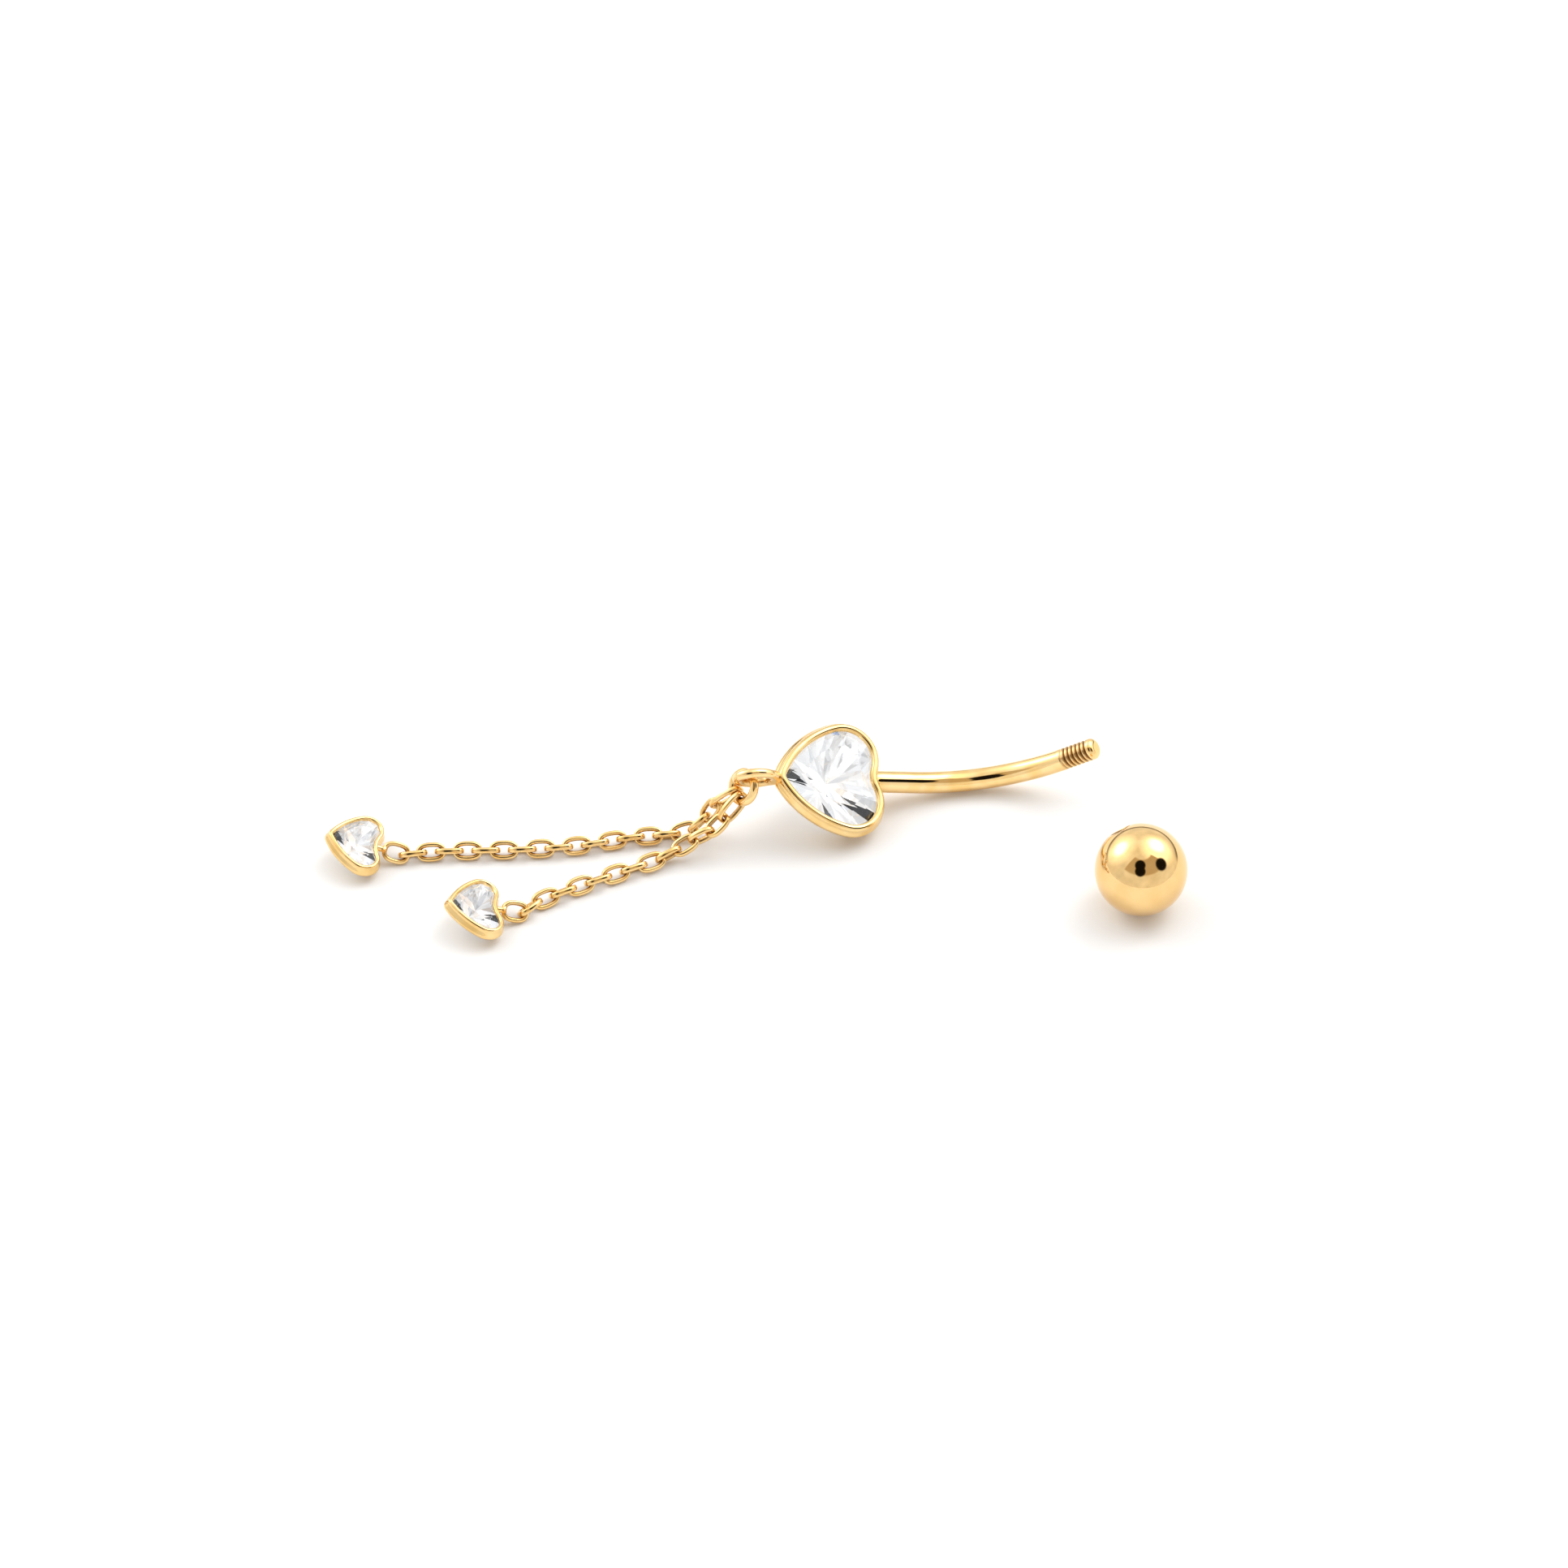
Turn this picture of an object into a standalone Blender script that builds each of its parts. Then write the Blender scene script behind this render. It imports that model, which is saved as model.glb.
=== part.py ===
"""A navel ring lying on a table, with its ball unscrewed and set down beside it.

A curved post is soldered to a bezel-set heart stone. A jump ring hangs from
an eye on the heart's tip, and carries two cable chains, each ending in a
small heart drop. Lengths are in metres, angles in degrees, +Z is up.
"""

import math
from collections import namedtuple

import bmesh
import bpy
from mathutils import Matrix, Vector

# Post: a curved bar with an outside thread on its free end
POST_DIAMETER = 0.0012
POST_STRAIGHT = 0.00267
POST_BEND_RADIUS = 0.00824
POST_BEND_ANGLE = 60.1
POST_BELOW_GIRDLE = 0.00028
THREAD_LENGTH = 0.00187
THREAD_PITCH = 0.00027
THREAD_DEPTH = 0.0001
POST_TIP_LENGTH = 0.0003
POST_TIP_FLAT = 0.0005

# Ball: screws on the post, lies beside it
BALL_DIAMETER = 0.005
BALL_FLAT_WIDTH = 0.00012
BORE_DEPTH = 0.0021
SCREW_CLEARANCE = 0.00003
BALL_RIGHT = 0.01646
BALL_FRONT = 0.00646
BALL_MOUTH_HEADING = 128.0
BALL_MOUTH_LIFT = 40.4

# Heart stone in the middle, and the bezel that it is set in
HEART_LENGTH = 0.00545
HEART_WIDTH = 0.00567
HEART_LOBE_RADIUS = 0.00165
HEART_SIDE_RADIUS = 0.00527
HEART_TIP_RADIUS = 0.00045
HEART_SHOULDER_ANGLE = 18.9
HEART_CROWN_HEIGHT = 0.0006
HEART_CROWN_ANGLE = 33.0
HEART_PAVILION_DEPTH = 0.00205
HEART_GIRDLE = 0.0001
HEART_CULET_FROM_TIP = 0.00288
HEART_WALL = 0.0003
HEART_LIP = 0.00013
HEART_RIM_HEIGHT = 0.00038
HEART_BACK_DEPTH = 0.0015
HEART_BACK_TAPER = 0.00056
HEART_BACK_RING = 0.0003
HEART_BELLY = 0.00016
HEART_BELLY_BELOW = 0.0002

# Heart drops: a smaller stone and bezel on each chain
DROP_LENGTH = 0.00259
DROP_WIDTH = 0.0034
DROP_LOBE_RADIUS = 0.0007
DROP_SIDE_RADIUS = 0.00368
DROP_TIP_RADIUS = 0.00021
DROP_SHOULDER_ANGLE = 20.5
DROP_CROWN_HEIGHT = 0.00036
DROP_CROWN_ANGLE = 33.0
DROP_PAVILION_DEPTH = 0.00115
DROP_GIRDLE = 0.00008
DROP_CULET_FROM_TIP = 0.00147
DROP_WALL = 0.0002
DROP_LIP = 0.00006
DROP_RIM_HEIGHT = 0.00026
DROP_BACK_DEPTH = 0.00082
DROP_BACK_TAPER = 0.00037
DROP_BACK_RING = 0.00015
DROP_BELLY = 0.00012
DROP_BELLY_BELOW = 0.00027
DROP_PEG_DIAMETER = 0.0004
DROP_LINK_FROM_NOTCH = 0.00038
DROP_LINK_LENGTH = 0.00155
DROP_LINK_WIDTH = 0.0012
DROP_LINK_TURN = 40.0

# Clearance between a stone and its bezel
SEAT_GAP = 0.00004

# Eye on the heart's tip, and the jump ring through it
EYE_LENGTH = 0.00265
EYE_WIDTH = 0.00203
EYE_WIRE = 0.00053
EYE_BELOW_GIRDLE = 0.0001
EYE_SOLDER = 0.00008
RING_FROM_EYE_MIDDLE = 0.00018
RING_BELOW_EYE_MIDDLE = 0.00006
RING_RADIUS = 0.0008
RING_WIRE = 0.00049
RING_HEADING = 185.8
RING_FALL = 52.6
RING_ROLL = -24.0

# Chain links, the longer link on the jump ring, and the slack between links,
# with a little more at the drops
LINK_LENGTH = 0.00162
LINK_WIDTH = 0.00106
LINK_WIRE = 0.00027
LINK_SQUARENESS = 2.6
END_LINK_LENGTH = 0.0021
END_LINK_WIDTH = 0.0013
LINK_SLACK = 0.00005
DROP_SLACK = 0.00006
LINK_LEAN = 45.0

LONG_CHAIN_LINKS = 19
LONG_CHAIN_ANGLE = -14.0
LONG_CHAIN_EXTRA_SLACK = 0.000042
SHORT_CHAIN_LINKS = 13
SHORT_CHAIN_ANGLE = 28.0
SHORT_CHAIN_EXTRA_SLACK = -0.00001
TWISTED_LINKS = 7

# Where the chains run, from the jump ring outwards: metres to the right of the
# heart stone's middle, metres behind it, and the share of the way up from the
# table to the jump ring
LONG_CHAIN_ROUTE = [
    (-0.00623, -0.00106, 0.73), (-0.00675, -0.00116, 0.41), (-0.00736, -0.00146, 0.15),
    (-0.00816, -0.00168, 0.02), (-0.00899, -0.0018, 0.0), (-0.01097, -0.00201, 0.0),
    (-0.01387, -0.00263, 0.0), (-0.01686, -0.00291, 0.0), (-0.01989, -0.003, 0.0),
    (-0.02179, -0.00308, 0.0), (-0.02317, -0.00326, 0.0),
]
SHORT_CHAIN_ROUTE = [
    (-0.0058, -0.00198, 0.72), (-0.00639, -0.00248, 0.50), (-0.00736, -0.00274, 0.32),
    (-0.00823, -0.00315, 0.16), (-0.0091, -0.00358, 0.05), (-0.00993, -0.00393, 0.0),
    (-0.01271, -0.0052, 0.0), (-0.01465, -0.00614, 0.0), (-0.01617, -0.00702, 0.0),
    (-0.01665, -0.0076, 0.0),
]

# Where the heart stone's middle is against the routes above, and how the
# soldered heart and the drops lie
HEART_LEFT = 0.00006
HEART_BEHIND = 0.00014
HEART_YAW = 16.0
HEART_PITCH = 17.0
HEART_ROLL = 27.0
LONG_DROP_YAW = -3.4
LONG_DROP_PITCH = 18.3
LONG_DROP_ROLL = 2.1
SHORT_DROP_YAW = 10.5
SHORT_DROP_PITCH = 20.7
SHORT_DROP_ROLL = 2.9

# Mesh fineness
POST_SIDES = 20
THREAD_ROWS_PER_TURN = 5
WIRE_SIDES = 10
RING_SEGMENTS = 24
LINK_SIDES = 6
LINK_SEGMENTS = 14
BALL_ROWS = 14
RIM_TURNS = (0, 30, 60, 90, 135, 180)

GOLD = (0.83, 0.58, 0.24, 1.0)
CRYSTAL = (0.9, 0.92, 0.95, 1.0)

Heart = namedtuple("Heart", "length width lobe_radius side_radius tip_radius shoulder_angle "
                   "crown_height crown_angle pavilion_depth girdle culet_from_tip "
                   "wall lip rim_height back_depth back_taper back_ring belly belly_below "
                   "arc_steps")

HEART = Heart(HEART_LENGTH, HEART_WIDTH, HEART_LOBE_RADIUS, HEART_SIDE_RADIUS, HEART_TIP_RADIUS,
              HEART_SHOULDER_ANGLE, HEART_CROWN_HEIGHT, HEART_CROWN_ANGLE, HEART_PAVILION_DEPTH,
              HEART_GIRDLE, HEART_CULET_FROM_TIP, HEART_WALL, HEART_LIP, HEART_RIM_HEIGHT,
              HEART_BACK_DEPTH, HEART_BACK_TAPER, HEART_BACK_RING, HEART_BELLY,
              HEART_BELLY_BELOW, (3, 6, 9))
DROP = Heart(DROP_LENGTH, DROP_WIDTH, DROP_LOBE_RADIUS, DROP_SIDE_RADIUS, DROP_TIP_RADIUS,
             DROP_SHOULDER_ANGLE, DROP_CROWN_HEIGHT, DROP_CROWN_ANGLE, DROP_PAVILION_DEPTH,
             DROP_GIRDLE, DROP_CULET_FROM_TIP, DROP_WALL, DROP_LIP, DROP_RIM_HEIGHT,
             DROP_BACK_DEPTH, DROP_BACK_TAPER, DROP_BACK_RING, DROP_BELLY, DROP_BELLY_BELOW,
             (2, 4, 6))


def clear_scene():
    for old in list(bpy.data.objects):
        bpy.data.objects.remove(old, do_unlink=True)


def make_material(name, colour, roughness, metallic):
    material = bpy.data.materials.new(name)
    material.use_nodes = True
    shader = material.node_tree.nodes["Principled BSDF"]
    shader.inputs["Base Color"].default_value = colour
    shader.inputs["Roughness"].default_value = roughness
    shader.inputs["Metallic"].default_value = metallic
    material.diffuse_color = colour
    return material


def add_object(name, bm, matrix, material):
    """Turn a bmesh into a named object, its faces pointing out, placed by a matrix."""
    bmesh.ops.recalc_face_normals(bm, faces=bm.faces)
    mesh = bpy.data.meshes.new(name)
    bm.to_mesh(mesh)
    bm.free()
    mesh.materials.append(material)
    mesh.shade_smooth()
    mesh.set_sharp_from_angle(angle=math.radians(35))
    piece = bpy.data.objects.new(name, mesh)
    piece.matrix_world = matrix
    bpy.context.scene.collection.objects.link(piece)
    return piece


def weld_on(piece, other):
    """Solder another piece on: a union, with the other piece kept only as its tool."""
    solder = piece.modifiers.new("solder_" + other.name, "BOOLEAN")
    solder.operation = "UNION"
    solder.solver = "EXACT"
    solder.object = other
    other.hide_render = True
    other.display_type = "WIRE"


def skin(bm, rings, closed):
    """Join rings of points into a tube: a closed loop, or one with flat ends."""
    rows = [[bm.verts.new(point) for point in ring] for ring in rings]
    pairs = list(zip(rows, rows[1:] + rows[:1])) if closed else list(zip(rows, rows[1:]))
    for near, far in pairs:
        for i in range(len(near)):
            j = (i + 1) % len(near)
            bm.faces.new((near[i], near[j], far[j], far[i]))
    if not closed:
        bm.faces.new(rows[0])
        bm.faces.new(rows[-1])


def frame(yaw, pitch, roll, origin=Vector((0, 0, 0))):
    """A place whose X axis heads by yaw and falls by pitch, and which rolls about X."""
    turn = (Matrix.Rotation(math.radians(yaw), 4, "Z") @ Matrix.Rotation(math.radians(pitch), 4, "Y")
            @ Matrix.Rotation(math.radians(roll), 4, "X"))
    return Matrix.Translation(origin) @ turn


def arc_points(centre, radius, start, stop, steps):
    """Points on an arc, without its last one."""
    angles = [start + (stop - start) * i / steps for i in range(steps)]
    return [(centre[0] + radius * math.cos(a), centre[1] + radius * math.sin(a)) for a in angles]


def heart_outline(heart, offset):
    """A heart seen from above, tip at -X, grown by offset; arcs joined smoothly.

    The tip is a small arc, each side a long arc, each lobe a round arc that
    runs into a straight shoulder, and the two shoulders meet at the notch.
    """
    tip = Vector((heart.tip_radius, 0.0))
    lobe = Vector((heart.length - heart.lobe_radius, heart.width / 2 - heart.lobe_radius))
    from_tip = heart.side_radius - heart.tip_radius
    from_lobe = heart.side_radius - heart.lobe_radius
    gap = (lobe - tip).length
    along = (from_tip ** 2 - from_lobe ** 2 + gap ** 2) / (2 * gap)
    across = math.sqrt(from_tip ** 2 - along ** 2)
    toward = (lobe - tip) / gap
    side = tip + toward * along + Vector((toward.y, -toward.x)) * across

    shoulder = math.radians(heart.shoulder_angle)
    tip_end = math.atan2(tip.y - side.y, tip.x - side.x)
    side_end = math.atan2(lobe.y - side.y, lobe.x - side.x)
    notch_reach = heart.lobe_radius + offset - lobe.y * math.sin(shoulder)
    notch = (lobe.x + notch_reach / math.cos(shoulder), 0.0)
    tip_steps, side_steps, lobe_steps = heart.arc_steps

    upper = arc_points(tip, heart.tip_radius + offset, math.pi, tip_end, tip_steps)
    upper += arc_points(side, heart.side_radius + offset, tip_end, side_end, side_steps)
    upper += arc_points(lobe, heart.lobe_radius + offset, side_end, -shoulder, lobe_steps)
    upper.append((lobe.x + (heart.lobe_radius + offset) * math.cos(shoulder),
                  lobe.y - (heart.lobe_radius + offset) * math.sin(shoulder)))
    whole = upper + [notch] + [(x, -y) for x, y in reversed(upper[1:])]
    return [(x - heart.culet_from_tip, y) for x, y in whole]


def outline_reach(heart, offset):
    """How far the outline reaches at its tip and at its notch, along X."""
    points = heart_outline(heart, offset)
    middle = len(points) // 2
    return points[0][0], points[middle][0]


def bezel_mesh(heart):
    """The metal cup round a heart stone, open at the back, its rim domed over the stone."""
    half_girdle = heart.girdle / 2
    crown_slope = math.tan(math.radians(heart.crown_angle))
    lip_foot = half_girdle + heart.lip * crown_slope + SEAT_GAP
    seat_offset = heart.wall - heart.back_taper - heart.back_ring
    seat_slope = heart.pavilion_depth / (heart.culet_from_tip - heart.width / 4)
    seat_foot = half_girdle + SEAT_GAP + (SEAT_GAP - seat_offset) * seat_slope
    profile = [
        (heart.wall - heart.back_taper, -heart.back_depth),
        (heart.wall + heart.belly, -heart.belly_below),
    ]
    top = (heart.wall - heart.lip) / 2
    half_rim = (heart.wall + heart.lip) / 2
    for turn in RIM_TURNS:
        foot = heart.rim_height - 2 * heart.wall / 3 if turn < 90 else lip_foot
        profile.append((top + half_rim * math.cos(math.radians(turn)),
                        foot + (heart.rim_height - foot) * math.sin(math.radians(turn))))
    profile += [
        (SEAT_GAP, half_girdle + SEAT_GAP / 2),
        (SEAT_GAP, -half_girdle - SEAT_GAP / 2),
        (seat_offset, -seat_foot),
        (seat_offset, -heart.back_depth),
    ]
    bm = bmesh.new()
    skin(bm, [[(x, y, z) for x, y in heart_outline(heart, d)] for d, z in profile], closed=True)
    return bm


def slice_off(bm, point, normal):
    """Cut flat: take away what lies beyond a plane, and close the cut."""
    cut = bmesh.ops.bisect_plane(bm, geom=bm.verts[:] + bm.edges[:] + bm.faces[:], dist=1e-9,
                                 plane_co=point, plane_no=normal, clear_outer=True)
    edges = [e for e in cut["geom_cut"] if isinstance(e, bmesh.types.BMEdge) and e.is_boundary]
    if edges:
        bmesh.ops.edgeloop_fill(bm, edges=edges)


def stone_mesh(heart):
    """A heart-cut stone: one half cut by planes, then mirrored on the heart's axis."""
    half_girdle = heart.girdle / 2
    outline = heart_outline(heart, 0.0)
    middle = len(outline) // 2
    half = outline[:middle + 1]
    bm = bmesh.new()
    skin(bm, [[(x, y, -heart.pavilion_depth) for x, y in half],
              [(x, y, heart.crown_height) for x, y in half]], closed=False)
    culet = Vector((0, 0, -heart.pavilion_depth))
    crown = math.radians(heart.crown_angle)
    for (x0, y0), (x1, y1) in zip(half, half[1:]):
        along = Vector((x1 - x0, y1 - y0, 0)).normalized()
        out = Vector((-along.y, along.x, 0))
        above = Vector((x0, y0, half_girdle))
        below = Vector((x0, y0, -half_girdle))
        slice_off(bm, above, out * math.sin(crown) + Vector((0, 0, math.cos(crown))))
        down = along.cross(culet - below).normalized()
        slice_off(bm, below, down if down.z < 0 else -down)
    flat = [f for f in bm.faces if all(abs(v.co.y) < 1e-8 for v in f.verts)]
    bmesh.ops.delete(bm, geom=flat, context="FACES_ONLY")
    bmesh.ops.mirror(bm, geom=bm.verts[:] + bm.edges[:] + bm.faces[:], axis="Y", merge_dist=1e-7)
    bmesh.ops.triangulate(bm, faces=[f for f in bm.faces if len(f.verts) > 4])
    return bm


def thread_radius(distance, angle, major):
    """Radius of the screw thread at a distance along it and an angle round it."""
    phase = (distance / THREAD_PITCH - angle / (2 * math.pi)) % 1.0
    ridge = 1.0 - abs(2.0 * phase - 1.0)
    run_out = min(distance, THREAD_LENGTH - distance) / THREAD_PITCH
    return major - THREAD_DEPTH * (1.0 - ridge) * min(1.0, max(0.0, run_out))


def thread_radii(distance, major):
    """The thread's radii all round, at a distance along it."""
    turns = [2 * math.pi * i / POST_SIDES for i in range(POST_SIDES)]
    return [thread_radius(distance, turn, major) for turn in turns]


def ring_points(place, radii):
    """Points round the local X axis of a place, one for each radius."""
    count = len(radii)
    points = []
    for i, radius in enumerate(radii):
        angle = 2 * math.pi * i / count
        points.append(place @ Vector((0, radius * math.cos(angle), radius * math.sin(angle))))
    return points


def post_root():
    """Where the post leaves the bezel: inside its wall, just behind the notch."""
    return outline_reach(HEART, SEAT_GAP)[1] + HEART_WALL * 0.4


def post_place(distance):
    """The place on the post's centre line at a distance from its root."""
    root = Vector((post_root(), 0, -POST_BELOW_GIRDLE))
    bend = math.radians(POST_BEND_ANGLE)
    bent = min(max(distance - POST_STRAIGHT, 0.0), POST_BEND_RADIUS * bend)
    angle = bent / POST_BEND_RADIUS
    point = root + Vector((min(distance, POST_STRAIGHT), 0, 0))
    point += POST_BEND_RADIUS * Vector((math.sin(angle), 0, 1 - math.cos(angle)))
    rest = max(distance - POST_STRAIGHT - POST_BEND_RADIUS * bend, 0.0)
    point += rest * Vector((math.cos(angle), 0, math.sin(angle)))
    return Matrix.Translation(point) @ Matrix.Rotation(-angle, 4, "Y")


def post_mesh():
    """The bar: root, straight part, bend, thread and rounded tip."""
    radius = POST_DIAMETER / 2
    plain = [radius] * POST_SIDES
    bend_length = POST_BEND_RADIUS * math.radians(POST_BEND_ANGLE)

    # Its root end follows the notch and the taper of the bezel's wall
    lean = HEART_BACK_TAPER / HEART_BACK_DEPTH
    splay = math.tan(math.radians(HEART_SHOULDER_ANGLE))
    rings = []
    for size in (radius / 5, radius):
        rings.append([])
        for p in ring_points(post_place(0.0), [size] * POST_SIDES):
            back = min(0.0, p.z + POST_BELOW_GIRDLE) * lean
            rings[-1].append(p + Vector((back + abs(p.y) * splay, 0, 0)))

    bend_steps = max(4, round(POST_BEND_ANGLE / 4))
    stops = [POST_STRAIGHT / 2]
    stops += [POST_STRAIGHT + bend_length * i / bend_steps for i in range(bend_steps + 1)]
    rings += [ring_points(post_place(stop), plain) for stop in stops]
    start = POST_STRAIGHT + bend_length
    rows = round(THREAD_ROWS_PER_TURN * THREAD_LENGTH / THREAD_PITCH)
    for row in range(1, rows + 1):
        distance = THREAD_LENGTH * row / rows
        radii = thread_radii(distance, radius)
        rings.append(ring_points(post_place(start + distance), radii))
    for turn in (30, 60, 90):
        share = math.radians(turn)
        size = POST_TIP_FLAT / 2 + (radius - POST_TIP_FLAT / 2) * math.cos(share)
        end = start + THREAD_LENGTH + POST_TIP_LENGTH * math.sin(share)
        rings.append(ring_points(post_place(end), [size] * POST_SIDES))
    bm = bmesh.new()
    skin(bm, rings, closed=False)
    return bm


def wire_section(point, out, wire, sides):
    """Points round a wire's section, between outwards and the local Z axis."""
    turns = [2 * math.pi * (j + 0.5) / sides for j in range(sides)]
    up = Vector((0, 0, 1))
    return [point + wire / 2 * (out * math.cos(a) + up * math.sin(a)) for a in turns]


def wire_ring_mesh(length, width, wire, segments, sides):
    """A round or oval wire ring in the local XY plane, longer along X."""
    half_long = (length - wire) / 2
    half_wide = (width - wire) / 2
    rings = []
    for i in range(segments):
        angle = 2 * math.pi * i / segments
        point = Vector((half_long * math.cos(angle), half_wide * math.sin(angle), 0))
        out = Vector((half_wide * math.cos(angle), half_long * math.sin(angle), 0)).normalized()
        rings.append(wire_section(point, out, wire, sides))
    bm = bmesh.new()
    skin(bm, rings, closed=True)
    return bm


def eye_place():
    """The eye stands upright on the tip, its hole across the heart."""
    middle = outline_reach(HEART, HEART_WALL)[0] + EYE_SOLDER - EYE_LENGTH / 2
    return Matrix.Translation((middle, 0, -EYE_BELOW_GIRDLE)) @ Matrix.Rotation(math.radians(90), 4, "X")


def link_mesh(length, width):
    """A long link in the local XY plane, its wire cut flat on the outside."""
    half_long = (length - LINK_WIRE) / 2
    half_wide = (width - LINK_WIRE) / 2
    power = 2.0 / LINK_SQUARENESS
    loop = []
    for i in range(LINK_SEGMENTS):
        angle = 2 * math.pi * (i + 0.5) / LINK_SEGMENTS
        c = math.cos(angle)
        s = math.sin(angle)
        loop.append(Vector((half_long * math.copysign(abs(c) ** power, c),
                            half_wide * math.copysign(abs(s) ** power, s), 0)))
    rings = []
    for i, point in enumerate(loop):
        along = (loop[(i + 1) % LINK_SEGMENTS] - loop[i - 1]).normalized()
        out = Vector((along.y, -along.x, 0))
        rings.append(wire_section(point, out, LINK_WIRE, LINK_SIDES))
    bm = bmesh.new()
    skin(bm, rings, closed=True)
    return bm


def ball_mesh():
    """The ball round its screw axis (+X): a threaded bore, a flat mouth and the sphere."""
    radius = BALL_DIAMETER / 2
    bore = POST_DIAMETER / 2 + SCREW_CLEARANCE
    flat_radius = bore + BALL_FLAT_WIDTH
    mouth = math.sqrt(radius ** 2 - flat_radius ** 2)
    rings = []

    def add_ring(x, radii):
        rings.append(ring_points(Matrix.Translation((x, 0, 0)), radii))

    floor = mouth - BORE_DEPTH
    add_ring(floor - bore / 3, [bore / 4] * POST_SIDES)
    rows = round(THREAD_ROWS_PER_TURN * THREAD_LENGTH / THREAD_PITCH)
    thread_foot = mouth - THREAD_LENGTH
    add_ring(floor, [bore] * POST_SIDES)
    for row in range(rows + 1):
        distance = THREAD_LENGTH * row / rows
        add_ring(thread_foot + distance, thread_radii(distance, bore))
    first = math.asin(flat_radius / radius)
    for row in range(BALL_ROWS):
        angle = first + (math.pi - first) * row / BALL_ROWS
        add_ring(radius * math.cos(angle), [radius * math.sin(angle)] * POST_SIDES)
    bm = bmesh.new()
    skin(bm, rings[:-1], closed=False)
    return bm


def lowest(meshes_and_places):
    """The lowest height that any of these meshes reaches at its place."""
    return min((place @ v.co).z for bm, place in meshes_and_places for v in bm.verts)


def smooth_route(points, steps=24):
    """Points read from a smooth curve through the route's own points."""
    padded = [2 * points[0] - points[1]] + points + [2 * points[-1] - points[-2]]
    curve = []
    for i in range(1, len(padded) - 2):
        before, here, there, after = padded[i - 1:i + 3]
        for step in range(steps):
            t = step / steps
            curve.append(0.5 * (2 * here + (there - before) * t
                                + (2 * before - 5 * here + 4 * there - after) * t ** 2
                                + (3 * here - before - 3 * there + after) * t ** 3))
    far = points[-1] + (points[-1] - points[-2]).normalized() * 1.0
    return curve + [points[-1], far]


def walk(curve, start, steps, length):
    """Hinge points along a curve from start, each one length from the last."""
    hinges = [start]
    index = 0
    while len(hinges) <= steps:
        here = hinges[-1]
        while (curve[index + 1] - here).length < length:
            index += 1
        near, far = curve[index], curve[index + 1]
        low, high = 0.0, 1.0
        for _ in range(40):
            middle = (low + high) / 2
            if (near.lerp(far, middle) - here).length < length:
                low = middle
            else:
                high = middle
        hinges.append(near.lerp(far, high))
    return hinges


def link_place(near, far, roll):
    """A link's place: its length from near to far, rolled about it from lying flat."""
    along = (far - near).normalized()
    up = (Vector((0, 0, 1)) - along * along.z).normalized()
    side = up.cross(along)
    turn = Matrix((along, side, up)).transposed().to_4x4()
    return Matrix.Translation((near + far) / 2) @ turn @ Matrix.Rotation(math.radians(roll), 4, "X")


def drop_reach():
    """From a drop's middle to the far end of its own link, along the drop's axis."""
    return outline_reach(DROP, DROP_WALL)[1] + DROP_LINK_FROM_NOTCH + DROP_LINK_LENGTH


def drop_pieces(name, yaw, pitch, roll, gold, crystal):
    """A drop with its link soldered on, lying with its lowest edge on the table."""
    turn = frame(yaw, pitch, roll)
    link_middle = Matrix.Translation((drop_reach() - DROP_LINK_LENGTH / 2, 0, 0))
    link_middle = link_middle @ Matrix.Rotation(math.radians(DROP_LINK_TURN), 4, "X")
    bezel = bezel_mesh(DROP)
    link = link_mesh(DROP_LINK_LENGTH, DROP_LINK_WIDTH)
    lift = -lowest([(bezel, turn), (link, turn @ link_middle)])
    place = Matrix.Translation((0, 0, lift)) @ turn
    wall = outline_reach(DROP, DROP_WALL)[1] - DROP_WALL / 2
    peg_end = drop_reach() - DROP_LINK_LENGTH + LINK_WIRE / 2
    peg = bmesh.new()
    thick = [DROP_PEG_DIAMETER / 2] * (2 * LINK_SIDES)
    skin(peg, [ring_points(Matrix.Translation((x, 0, 0)), thick) for x in (wall, peg_end)], closed=False)
    setting = add_object(name + "_setting", bezel, place, gold)
    own_link = add_object(name + "_own_link", link, place @ link_middle, gold)
    peg = add_object(name + "_peg", peg, place, gold)
    weld_on(setting, own_link)
    weld_on(setting, peg)
    stone = add_object(name + "_stone", stone_mesh(DROP), place, crystal)
    return setting, own_link, peg, stone


def roll_about(near, far, normal):
    """The roll that turns a link from near to far so that its hole faces along normal."""
    turn = link_place(near, far, 0).to_3x3()
    return math.degrees(math.atan2(-normal.dot(turn.col[1]), normal.dot(turn.col[2])))


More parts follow.
